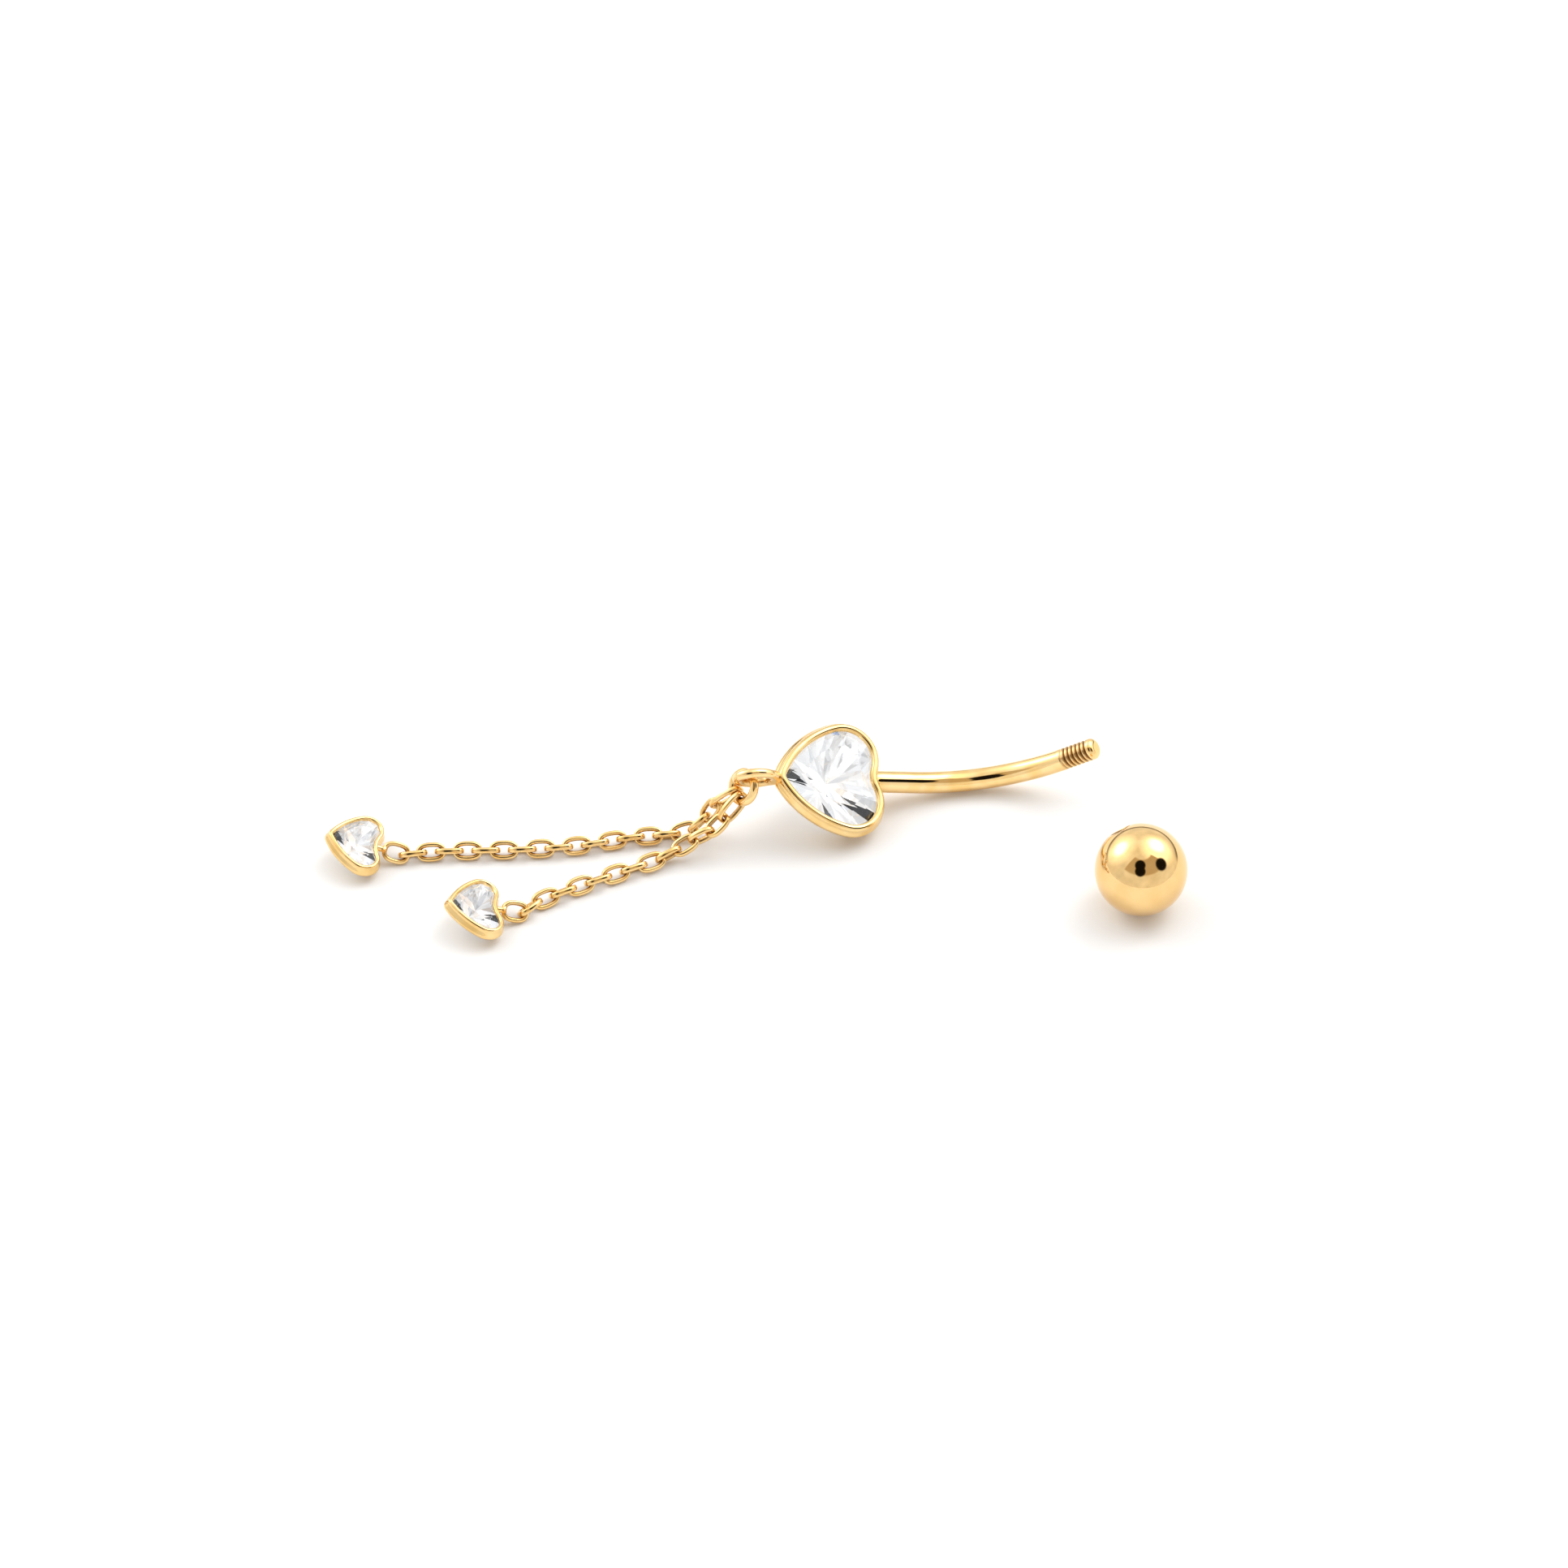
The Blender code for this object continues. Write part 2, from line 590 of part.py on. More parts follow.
def chain(name, count, ring_angle, extra_slack, route, ring_place, drop, gold):
    """The links of one chain, from the jump ring to a drop, and the drop moved to its end."""
    angle = math.radians(ring_angle)
    on_ring = ring_place @ Vector((RING_RADIUS * math.cos(angle), RING_RADIUS * math.sin(angle), 0))
    ring_wire = ring_place.to_3x3() @ Vector((-math.sin(angle), math.cos(angle), 0))
    lean = math.radians(LINK_LEAN)
    lying = (LINK_WIDTH - LINK_WIRE) / 2 * math.sin(lean) + LINK_WIRE / 2
    points = [Vector((x, y, lying + share * (on_ring.z - lying))) for x, y, share in route]
    overlap = LINK_WIRE + LINK_SLACK + extra_slack
    pitch = LINK_LENGTH - LINK_WIRE - overlap

    # The first link is longer, and hooks over the jump ring's wire
    pull = (points[0] - on_ring).normalized()
    hook = on_ring - pull * ((RING_WIRE + LINK_WIRE) / 2 + LINK_SLACK)
    first_end = hook + pull * (END_LINK_LENGTH - LINK_WIRE)
    start = first_end - pull * overlap / 2
    curve = [start] + smooth_route(points)
    while (curve[1] - start).dot(pull) < 0:
        del curve[1]
    hinges = walk(curve, start, count - 1, pitch)

    # The drop hangs on the last hinge, and the last links rise or sink to its height
    reach = drop_reach() - (LINK_WIRE + overlap + DROP_SLACK) / 2
    catch = drop[0].matrix_world @ Vector((reach, 0, 0))
    rise = catch.z - hinges[-1].z
    for back, share in ((1, 1.0), (2, 0.5)):
        hinges[-back].z += rise * share
    shift = Matrix.Translation(hinges[-1] - catch)
    for piece in drop:
        piece.matrix_world = shift @ piece.matrix_world

    # Each link is turned a quarter from the last, and the first faces the ring's wire
    first_lean = LINK_LEAN if count % 2 else -LINK_LEAN
    twist = (roll_about(hook, first_end, ring_wire) - first_lean + 90) % 180 - 90
    for i in range(count):
        near, far = (hook, first_end) if i == 0 else (hinges[i - 1], hinges[i])
        roll = LINK_LEAN if (count - i) % 2 else -LINK_LEAN
        roll += twist * max(0.0, 1.0 - i / TWISTED_LINKS)
        length = END_LINK_LENGTH if i == 0 else LINK_LENGTH
        width = END_LINK_WIDTH if i == 0 else LINK_WIDTH
        link = link_mesh(length, width)
        add_object("%s_link_%02d" % (name, count - i), link, link_place(near, far, roll), gold)


def main():
    clear_scene()
    gold = make_material("yellow_gold", GOLD, 0.12, 1.0)
    crystal = make_material("clear_crystal", CRYSTAL, 0.02, 0.0)

    # The soldered barbell, turned as it lies and set down on its lowest points
    turn = frame(HEART_YAW, HEART_PITCH, HEART_ROLL)
    bezel = bezel_mesh(HEART)
    post = post_mesh()
    lift = -lowest([(bezel, turn), (post, turn)])
    place = Matrix.Translation((-HEART_LEFT, HEART_BEHIND, lift)) @ turn
    eye_at = place @ eye_place()
    barbell = add_object("barbell", bezel, place, gold)
    weld_on(barbell, add_object("barbell_post", post, place, gold))
    eye = wire_ring_mesh(EYE_LENGTH, EYE_WIDTH, EYE_WIRE, RING_SEGMENTS, WIRE_SIDES)
    eye = add_object("barbell_eye", eye, eye_at, gold)
    weld_on(barbell, eye)
    add_object("heart_stone", stone_mesh(HEART), place, crystal)

    # The jump ring, whose wire passes through the eye
    ring_turn = frame(RING_HEADING, RING_FALL, RING_ROLL)
    threaded = eye_at @ Vector((-RING_FROM_EYE_MIDDLE, -RING_BELOW_EYE_MIDDLE, 0))
    ring_middle = threaded + ring_turn.to_3x3() @ Vector((RING_RADIUS, 0, 0))
    ring_place = Matrix.Translation(ring_middle) @ ring_turn
    ring_size = 2 * RING_RADIUS + RING_WIRE
    ring = wire_ring_mesh(ring_size, ring_size, RING_WIRE, RING_SEGMENTS, WIRE_SIDES)
    add_object("jump_ring", ring, ring_place, gold)

    # The drops and the chains that carry them
    long_drop = drop_pieces("long_drop", LONG_DROP_YAW, LONG_DROP_PITCH, LONG_DROP_ROLL, gold, crystal)
    short_drop = drop_pieces("short_drop", SHORT_DROP_YAW, SHORT_DROP_PITCH, SHORT_DROP_ROLL, gold, crystal)
    chain("long_chain", LONG_CHAIN_LINKS, LONG_CHAIN_ANGLE, LONG_CHAIN_EXTRA_SLACK, LONG_CHAIN_ROUTE,
          ring_place, long_drop, gold)
    chain("short_chain", SHORT_CHAIN_LINKS, SHORT_CHAIN_ANGLE, SHORT_CHAIN_EXTRA_SLACK, SHORT_CHAIN_ROUTE,
          ring_place, short_drop, gold)

    # The ball, its mouth turned up and away
    ball_middle = Vector((BALL_RIGHT, -BALL_FRONT, BALL_DIAMETER / 2))
    add_object("ball", ball_mesh(), frame(BALL_MOUTH_HEADING, -BALL_MOUTH_LIFT, 0, ball_middle), gold)

    centre_on_floor()


def centre_on_floor():
    """Move everything so that the middle of the whole thing's underside is the origin."""
    solid = [o for o in bpy.data.objects if not o.hide_render]
    corners = [o.matrix_world @ v.co for o in solid for v in o.data.vertices]
    low = Vector([min(c[i] for c in corners) for i in range(3)])
    high = Vector([max(c[i] for c in corners) for i in range(3)])
    shift = Matrix.Translation((-(low.x + high.x) / 2, -(low.y + high.y) / 2, -low.z))
    for piece in bpy.data.objects:
        piece.matrix_world = shift @ piece.matrix_world


main()
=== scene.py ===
"""A gold navel ring lying on a pale table, with its ball unscrewed and set down beside it."""

import math
from types import SimpleNamespace

import bmesh
import bpy
import numpy
from mathutils import Matrix, Vector


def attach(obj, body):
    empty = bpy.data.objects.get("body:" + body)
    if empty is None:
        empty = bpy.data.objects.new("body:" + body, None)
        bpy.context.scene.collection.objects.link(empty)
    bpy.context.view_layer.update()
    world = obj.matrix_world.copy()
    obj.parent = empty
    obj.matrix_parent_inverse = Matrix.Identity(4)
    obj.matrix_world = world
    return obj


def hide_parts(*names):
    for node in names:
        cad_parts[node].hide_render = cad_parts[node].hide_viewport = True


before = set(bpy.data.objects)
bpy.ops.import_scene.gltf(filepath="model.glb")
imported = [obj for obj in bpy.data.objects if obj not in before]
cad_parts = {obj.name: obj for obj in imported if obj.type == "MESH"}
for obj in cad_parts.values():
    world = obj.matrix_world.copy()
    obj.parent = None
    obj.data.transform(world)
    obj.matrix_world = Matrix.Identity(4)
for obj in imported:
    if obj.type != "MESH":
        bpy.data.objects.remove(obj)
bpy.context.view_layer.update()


# Heart setting: the cup that holds the big stone. Gold sheet is bent into a heart-shaped
# collar, soldered at the tip, and its rim is pressed over the stone's edge and polished.
# The back stays open, and the wall swells a little between rim and back.
HEART = SimpleNamespace(
    length=0.00545, width=0.00567, lobe_radius=0.00165, side_radius=0.00527, tip_radius=0.00045,
    shoulder=18.9, crown_height=0.0006, pavilion_depth=0.00205, girdle=0.0001,
    culet_from_tip=0.00288, wall=0.0003, lip=0.00013, rim_height=0.00038, back_depth=0.0015,
    back_taper=0.00056, back_ring=0.0003, belly=0.00016, belly_below=0.0002, crown_angle=33.0,
    notch_round=0.0005)
SEAT_GAP = 0.00004
BELLY_ROUND = 0.15
BACK_STEPS = 8
SHOULDER_STEPS = 6
RIM_STEPS = 20
HEART_STEPS = 12
SHARP_EDGE = math.radians(38)
SETTING_LIGHT = (0.89, 0.64, 0.30, 1.0)
SETTING_DEEP = (0.80, 0.52, 0.19, 1.0)
# Painted shade: the dark brown that grooves, bores and the insides of wire loops are mixed towards.
RECESS_SHADE_BROWN = (0.22, 0.09, 0.02, 1.0)
GROOVE_ROUGHNESS = 0.25
WHEEL_LINES = 14000.0
TONE_CLOUDS = 900.0


def lying(yaw, pitch, roll, middle):
    """A place that heads by yaw, falls by pitch and rolls about its own length."""
    return (Matrix.Translation(middle) @ Matrix.Rotation(math.radians(yaw), 4, "Z")
            @ Matrix.Rotation(math.radians(pitch), 4, "Y") @ Matrix.Rotation(math.radians(roll), 4, "X"))


HEART_PLACE = lying(16.0, 17.0, 27.0, (0.004217, 0.0033862, 0.0028227))


def arc(centre, radius, start, stop, steps):
    turns = [start + (stop - start) * i / steps for i in range(steps)]
    return [(centre[0] + radius * math.cos(t), centre[1] + radius * math.sin(t)) for t in turns]


def heart_line(heart, grow, steps):
    """Half of a heart's outline, from its tip at -X to its notch, grown outwards."""
    tip = Vector((heart.tip_radius, 0.0))
    lobe = Vector((heart.length - heart.lobe_radius, heart.width / 2 - heart.lobe_radius))
    from_tip = heart.side_radius - heart.tip_radius
    from_lobe = heart.side_radius - heart.lobe_radius
    gap = (lobe - tip).length
    along = (from_tip ** 2 - from_lobe ** 2 + gap ** 2) / (2 * gap)
    toward = (lobe - tip) / gap
    side = tip + toward * along + Vector((toward.y, -toward.x)) * math.sqrt(from_tip ** 2 - along ** 2)
    shoulder = math.radians(heart.shoulder)
    tip_end = math.atan2(tip.y - side.y, tip.x - side.x)
    side_end = math.atan2(lobe.y - side.y, lobe.x - side.x)
    line = arc(tip, heart.tip_radius + grow, math.pi, tip_end, steps)
    line += arc(side, heart.side_radius + grow, tip_end, side_end, 2 * steps)
    line += arc(lobe, heart.lobe_radius + grow, side_end, -shoulder, 4 * steps)

    # The two shoulders run into each other in a soft curve, as sheet does when it is bent
    reach = heart.lobe_radius + grow - lobe.y * math.sin(shoulder)
    notch = Vector((lobe.x + reach / math.cos(shoulder), 0.0))
    shoulder_end = Vector((lobe.x + (heart.lobe_radius + grow) * math.cos(shoulder),
                           lobe.y - (heart.lobe_radius + grow) * math.sin(shoulder)))
    run = shoulder_end - notch
    start = notch + run.normalized() * min(heart.notch_round, run.length)
    line.append(tuple(shoulder_end))
    for i in range(steps + 1):
        t = 0.5 * i / steps
        other = Vector((start.x, -start.y))
        point = start * (1 - t) ** 2 + notch * 2 * t * (1 - t) + other * t ** 2
        line.append((point.x, point.y))
    return [(x - heart.culet_from_tip, y) for x, y in line]


def whole_line(half):
    """Both halves of an outline that is the same on each side of the X axis."""
    return half + [(x, -y) for x, y in reversed(half[1:-1])]


def wall_profile(heart):
    """The bezel's section as (distance out from the stone's edge, height) pairs."""
    half_girdle = heart.girdle / 2
    lip_foot = half_girdle + heart.lip * math.tan(math.radians(heart.crown_angle)) + SEAT_GAP
    seat = heart.wall - heart.back_taper - heart.back_ring
    slope = heart.pavilion_depth / (heart.culet_from_tip - heart.width / 4)
    seat_foot = half_girdle + SEAT_GAP + (SEAT_GAP - seat) * slope
    shoulder_height = heart.rim_height - 2 * heart.wall / 3
    section = []

    # From the back the wall leans straight out to its belly, then swings in under the rim
    for i in range(BACK_STEPS + 1):
        share = 1 - i / BACK_STEPS
        bent = (math.hypot(share, BELLY_ROUND) - BELLY_ROUND) / (math.hypot(1.0, BELLY_ROUND) - BELLY_ROUND)
        section.append((heart.wall + heart.belly - (heart.belly + heart.back_taper) * bent,
                        -heart.belly_below - (heart.back_depth - heart.belly_below) * share))
    for i in range(1, SHOULDER_STEPS):
        share = i / SHOULDER_STEPS
        section.append((heart.wall + heart.belly * (1 - share * share * (3 - 2 * share)),
                        -heart.belly_below + (shoulder_height + heart.belly_below) * share))

    # The rim is one soft dome, from the wall's outside over to the stone
    top = (heart.wall - heart.lip) / 2
    half_rim = (heart.wall + heart.lip) / 2
    for i in range(RIM_STEPS + 1):
        turn = math.pi * i / RIM_STEPS
        foot = shoulder_height if i < RIM_STEPS / 2 else lip_foot
        section.append((top + half_rim * math.cos(turn), foot + (heart.rim_height - foot) * math.sin(turn)))
    section += [(SEAT_GAP, half_girdle + SEAT_GAP / 2), (SEAT_GAP, -half_girdle - SEAT_GAP / 2),
                (seat, -seat_foot), (seat, -heart.back_depth)]
    return section


def new_piece(name, bm, place, material, node, smooth=True, silvering=None):
    """A closed mesh made into a piece of the ring, standing for a node of the frame.

    Silvering is the material of the faces that are marked with it.
    """
    bmesh.ops.recalc_face_normals(bm, faces=bm.faces)
    mesh = bpy.data.meshes.new(name)
    bm.to_mesh(mesh)
    bm.free()
    mesh.transform(place)
    mesh.materials.append(material)
    if silvering:
        mesh.materials.append(silvering)
    if smooth:
        mesh.shade_smooth()
        mesh.set_sharp_from_angle(angle=SHARP_EDGE)
    piece = bpy.data.objects.new(name, mesh)
    bpy.context.scene.collection.objects.link(piece)
    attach(piece, "root")
    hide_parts(node)
    return piece


def skin(rings, closed, marks=None):
    """Rings of points joined into a tube, closed on itself or with flat ends.

    Marks holds a number for each point, kept on the mesh as how much painted shade a groove or hollow gets
    there.
    """
    bm = bmesh.new()
    recess_shade = bm.verts.layers.float.new("recess_shade")
    rows = []
    for r, ring in enumerate(rings):
        row = []
        for i, point in enumerate(ring):
            vert = bm.verts.new(point)
            vert[recess_shade] = marks[r][i] if marks else 0.0
            row.append(vert)
        rows.append(row)
    pairs = list(zip(rows, rows[1:] + rows[:1])) if closed else list(zip(rows, rows[1:]))
    for near, far in pairs:
        for i in range(len(near)):
            j = (i + 1) % len(near)
            bm.faces.new((near[i], near[j], far[j], far[i]))
    if not closed:
        bm.faces.new(rows[0])
        bm.faces.new(rows[-1])
    return bm


def bezel(heart, steps):
    """The cup as a closed skin: one outline for each point of the wall's section."""
    rings = []
    for out, height in wall_profile(heart):
        rings.append([(x, y, height) for x, y in whole_line(heart_line(heart, out, steps))])
    return skin(rings, closed=True)


def hand_polish_group():
    """What a polishing wheel leaves: slow waves, fine lines, and slight clouds of tone."""
    group = bpy.data.node_groups.new("hand_polish", "ShaderNodeTree")
    for name, kind in (("Place", "NodeSocketVector"), ("Wave Scale", "NodeSocketFloat"),
                       ("Line Scale", "NodeSocketFloat"), ("Cloud Scale", "NodeSocketFloat")):
        group.interface.new_socket(name, in_out="INPUT", socket_type=kind)
    for name in ("Waves", "Lines", "Clouds"):
        group.interface.new_socket(name, in_out="OUTPUT", socket_type="NodeSocketFloat")
    nodes = group.nodes
    links = group.links
    inside = nodes.new("NodeGroupInput")
    outside = nodes.new("NodeGroupOutput")
    for scale, output, detail, stretch in (("Wave Scale", "Waves", 1.0, (1.0, 1.0, 1.0)),
                                           ("Line Scale", "Lines", 3.0, (0.12, 1.0, 1.0)),
                                           ("Cloud Scale", "Clouds", 2.0, (1.0, 1.0, 1.0))):
        stretched = nodes.new("ShaderNodeVectorMath")
        stretched.operation = "MULTIPLY"
        stretched.inputs[1].default_value = stretch
        noise = nodes.new("ShaderNodeTexNoise")
        noise.inputs["Detail"].default_value = detail
        links.new(inside.outputs["Place"], stretched.inputs[0])
        links.new(stretched.outputs[0], noise.inputs["Vector"])
        links.new(inside.outputs[scale], noise.inputs["Scale"])
        links.new(noise.outputs["Fac"], outside.inputs[output])
    return group


HAND_POLISH = hand_polish_group()


def gold(name, light, deep, smoothest, roughest, wave_height, wave_scale=1100.0):
    """Polished gold: warm clouds of tone, wheel lines in the gloss, and painted shade, dark brown and
    rougher, in any groove or hollow.
    """
    material = bpy.data.materials.new(name)
    material.use_nodes = True
    nodes = material.node_tree.nodes
    links = material.node_tree.links
    shader = nodes["Principled BSDF"]
    shader.inputs["Metallic"].default_value = 1.0
    place = nodes.new("ShaderNodeTexCoord")
    polish = nodes.new("ShaderNodeGroup")
    polish.node_tree = HAND_POLISH
    polish.inputs["Wave Scale"].default_value = wave_scale
    polish.inputs["Line Scale"].default_value = WHEEL_LINES
    polish.inputs["Cloud Scale"].default_value = TONE_CLOUDS
    links.new(place.outputs["Object"], polish.inputs["Place"])

    tone = nodes.new("ShaderNodeMapRange")
    tone.inputs["From Min"].default_value = 0.35
    tone.inputs["From Max"].default_value = 0.65
    links.new(polish.outputs["Clouds"], tone.inputs["Value"])
    cloud = nodes.new("ShaderNodeMix")
    cloud.data_type = "RGBA"
    cloud.inputs["A"].default_value = deep
    cloud.inputs["B"].default_value = light
    links.new(tone.outputs["Result"], cloud.inputs["Factor"])

    # Painted shade: where the mesh marks a groove or hollow, the gold is mixed towards dark brown, and made
    # rougher.
    recess_shade = nodes.new("ShaderNodeAttribute")
    recess_shade.attribute_name = "recess_shade"
    recess_shaded = nodes.new("ShaderNodeMix")
    recess_shaded.data_type = "RGBA"
    recess_shaded.inputs["B"].default_value = RECESS_SHADE_BROWN
    links.new(recess_shade.outputs["Fac"], recess_shaded.inputs["Factor"])
    links.new(cloud.outputs["Result"], recess_shaded.inputs["A"])
    links.new(recess_shaded.outputs["Result"], shader.inputs["Base Color"])

    gloss = nodes.new("ShaderNodeMapRange")
    gloss.inputs["From Min"].default_value = 0.3
    gloss.inputs["From Max"].default_value = 0.7
    gloss.inputs["To Min"].default_value = smoothest
    gloss.inputs["To Max"].default_value = roughest
    links.new(polish.outputs["Lines"], gloss.inputs["Value"])
    rough = nodes.new("ShaderNodeMath")
    rough.operation = "MULTIPLY_ADD"
    rough.inputs[1].default_value = GROOVE_ROUGHNESS
    links.new(recess_shade.outputs["Fac"], rough.inputs[0])
    links.new(gloss.outputs["Result"], rough.inputs[2])
    links.new(rough.outputs[0], shader.inputs["Roughness"])

    bump = nodes.new("ShaderNodeBump")
    bump.inputs["Strength"].default_value = 1.0
    bump.inputs["Distance"].default_value = wave_height
    links.new(polish.outputs["Waves"], bump.inputs["Height"])
    links.new(bump.outputs["Normal"], shader.inputs["Normal"])
    return material


setting_gold = gold("setting_gold", SETTING_LIGHT, SETTING_DEEP, 0.03, 0.10, 0.000006)
new_piece("heart_setting", bezel(HEART, HEART_STEPS), HEART_PLACE, setting_gold, "barbell")


# Heart stone: a clear cut crystal, heart shaped, with a flat table, a crown of kite, star
# and girdle facets, and a pavilion whose facets run to one point and are silvered. It is
# dropped into the setting from above and held by the pressed rim.
# Painted light in the stone: each facet has a painted tint of fire, one flashes a painted blue, and a few
# silvered facets are painted black.
STONE_TABLE = 0.62
CROWN_MEET = 0.45
PAVILION_MEET = 0.7
HEART_MAINS = 6
HEART_DARK = (0, 8, 10)
HEART_BLUE = (3,)
FACETS_A_STEP = 9
UPPER_HALF = 2
LOWER_HALF = 6
FIRE_STEP = 0.618034
FIRE_TOP = 0.95
SILVERED = 1


def outline_stations(half, count):
    """Points and directions at even steps along half an outline, from tip to notch."""
    points = [Vector(p) for p in half]
    lengths = [0.0]
    for near, far in zip(points, points[1:]):
        lengths.append(lengths[-1] + (far - near).length)
    stations = []
    for i in range(count):
        wanted = lengths[-1] * i / (count - 1)
        j = max(1, min(len(points) - 1, next(k for k, s in enumerate(lengths) if s >= wanted - 1e-12)))
        share = (wanted - lengths[j - 1]) / (lengths[j] - lengths[j - 1])
        stations.append((points[j - 1].lerp(points[j], share), (points[j] - points[j - 1]).normalized()))
    stations[0] = (stations[0][0], Vector((0.0, 1.0)))
    return stations


def where_planes_meet(first, second, height):
    """The point at a height where two planes meet; each is a point and a normal."""
    rows = []
    sides = []
    for point, normal in (first, second):
        rows.append([normal.x, normal.y])
        sides.append(normal.dot(point) - normal.z * height)
    x, y = numpy.linalg.solve(rows, sides)
    return Vector((float(x), float(y), height))


def cut_stone(heart, mains_each_side, dark, blue):
    """A heart-cut stone. Main facets stand at even steps, with the tip's own on the axis.

    Facets by the girdle are counted round from the tip. Those named dark are painted black,
    a painted shade, and those named blue are painted a blue flash, a painted glint of fire.
    """
    half = heart_line(heart, 0.0, HEART_STEPS)
    stations = outline_stations(half, 2 * mains_each_side + 2)
    half_girdle = heart.girdle / 2
    culet = Vector((0, 0, -heart.pavilion_depth))
    upper_mains = stations[0::2]
    betweens = stations[1::2]

    def planes(foot, peak):
        found = []
        for point, toward in upper_mains:
            low = Vector((point.x, point.y, foot))
            normal = Vector((toward.x, toward.y, 0)).cross(peak(point) - low).normalized()
            found.append((low, normal))
        last_point, last_normal = found[-1]
        found.append((Vector((last_point.x, -last_point.y, last_point.z)),
                      Vector((last_normal.x, -last_normal.y, last_normal.z))))
        return found

    def on_table(point):
        return Vector((point.x * STONE_TABLE, point.y * STONE_TABLE, heart.crown_height))

    crown = planes(half_girdle, on_table)
    base = planes(-half_girdle, lambda p: culet)
    crown_height = half_girdle + CROWN_MEET * (heart.crown_height - half_girdle)
    base_height = -half_girdle - PAVILION_MEET * (heart.pavilion_depth - half_girdle)
    crown_meets = [where_planes_meet(a, b, crown_height) for a, b in zip(crown, crown[1:])]
    base_meets = [where_planes_meet(a, b, base_height) for a, b in zip(base, base[1:])]

    def loop(points, on_axis_first):
        """All the way round from the tip, the far side mirrored."""
        back = points[1:] if on_axis_first else points[:-1]
        return points + [Vector((p.x, -p.y, p.z)) for p in reversed(back)]

    def raised(at, height):
        return [Vector((p.x, p.y, height)) for p, _ in at]

    bm = bmesh.new()

    def verts(points):
        return [bm.verts.new(p) for p in points]

    table = verts(loop([on_table(p) for p, _ in upper_mains], True))
    crown_meet = verts(loop(crown_meets, False))
    base_meet = verts(loop(base_meets, False))
    rims = []
    for height in (half_girdle, -half_girdle):
        mains = verts(loop(raised(upper_mains, height), True))
        rims.append((mains, verts(loop(raised(betweens, height), False))))
    point = bm.verts.new(culet)
    bm.faces.new(table)
    count = len(table)
    for k in range(count):
        nxt = (k + 1) % count
        prev = (k - 1) % count
        (top_main, top_between), (low_main, low_between) = rims
        bm.faces.new((table[k], table[nxt], crown_meet[k]))
        bm.faces.new((table[k], crown_meet[k], top_main[k], crown_meet[prev]))
        bm.faces.new((crown_meet[k], top_main[k], top_between[k]))
        bm.faces.new((crown_meet[k], top_between[k], top_main[nxt]))
        bm.faces.new((top_main[k], top_between[k], low_between[k], low_main[k]))
        bm.faces.new((top_between[k], top_main[nxt], low_main[nxt], low_between[k]))
        bm.faces.new((base_meet[k], low_main[k], low_between[k]))
        bm.faces.new((base_meet[k], low_between[k], low_main[nxt]))
        bm.faces.new((point, base_meet[k], low_main[k], base_meet[prev]))
    fire = bm.faces.layers.float.new("fire")
    shade = bm.faces.layers.float.new("shade")
    bm.faces.ensure_lookup_table()
    for i, face in enumerate(bm.faces):
        k, kind = divmod(i - 1, FACETS_A_STEP)
        # Painted fire and shade: each facet gets a fire number that tints it, the blue ones a painted blue
        # flash, and the dark ones a mark of painted black.
        face[fire] = 1.0 if kind == UPPER_HALF and k in blue else (i * FIRE_STEP) % FIRE_TOP
        face[shade] = 1.0 if kind == LOWER_HALF and k in dark else 0.0
        if face.calc_center_median().z < -1.5 * half_girdle:
            face.material_index = SILVERED
    return bm


# Painted light on the stones: a blue flash of fire, and the black of dark silvered facets.
PAINTED_FLASH_BLUE = (0.30, 0.46, 1.0, 1.0)
PAINTED_EXTINCTION = (0.02, 0.022, 0.025, 1.0)
FOIL_GREY = (0.34, 0.345, 0.35, 1.0)
FOIL_ROUGHNESS = 0.05
STONE_DUST = 0.05
FIRE_NAMES = ("White", "Cool", "Warm", "Grey", "Flash")
FIRE_STARTS = (0.35, 0.55, 0.75, 0.97)
CHANCE_SPREAD = 5.7


def facet_fire_group():
    """How one facet differs from the next: its painted fire, a tint for light split by the stone, and a
    share by chance.
    """
    group = bpy.data.node_groups.new("facet_fire", "ShaderNodeTree")
    group.interface.new_socket("Fire", in_out="INPUT", socket_type="NodeSocketFloat")
    for name in FIRE_NAMES:
        group.interface.new_socket(name, in_out="INPUT", socket_type="NodeSocketColor")
    group.interface.new_socket("Colour", in_out="OUTPUT", socket_type="NodeSocketColor")
    group.interface.new_socket("Chance", in_out="OUTPUT", socket_type="NodeSocketFloat")
    nodes = group.nodes
    links = group.links
    inside = nodes.new("NodeGroupInput")
    outside = nodes.new("NodeGroupOutput")
    colour = inside.outputs[FIRE_NAMES[0]]
    for name, start in zip(FIRE_NAMES[1:], FIRE_STARTS):
        past = nodes.new("ShaderNodeMath")
        past.operation = "GREATER_THAN"
        past.inputs[1].default_value = start
        links.new(inside.outputs["Fire"], past.inputs[0])
        change = nodes.new("ShaderNodeMix")
        change.data_type = "RGBA"
        links.new(past.outputs[0], change.inputs["Factor"])
        links.new(colour, change.inputs["A"])
        links.new(inside.outputs[name], change.inputs["B"])
        colour = change.outputs["Result"]
    links.new(colour, outside.inputs["Colour"])
    spread = nodes.new("ShaderNodeMath")
    spread.operation = "MULTIPLY"
    spread.inputs[1].default_value = CHANCE_SPREAD
    chance = nodes.new("ShaderNodeMath")
    chance.operation = "FRACT"
    links.new(inside.outputs["Fire"], spread.inputs[0])
    links.new(spread.outputs[0], chance.inputs[0])
    links.new(chance.outputs[0], outside.inputs["Chance"])
    return group


FACET_FIRE = facet_fire_group()


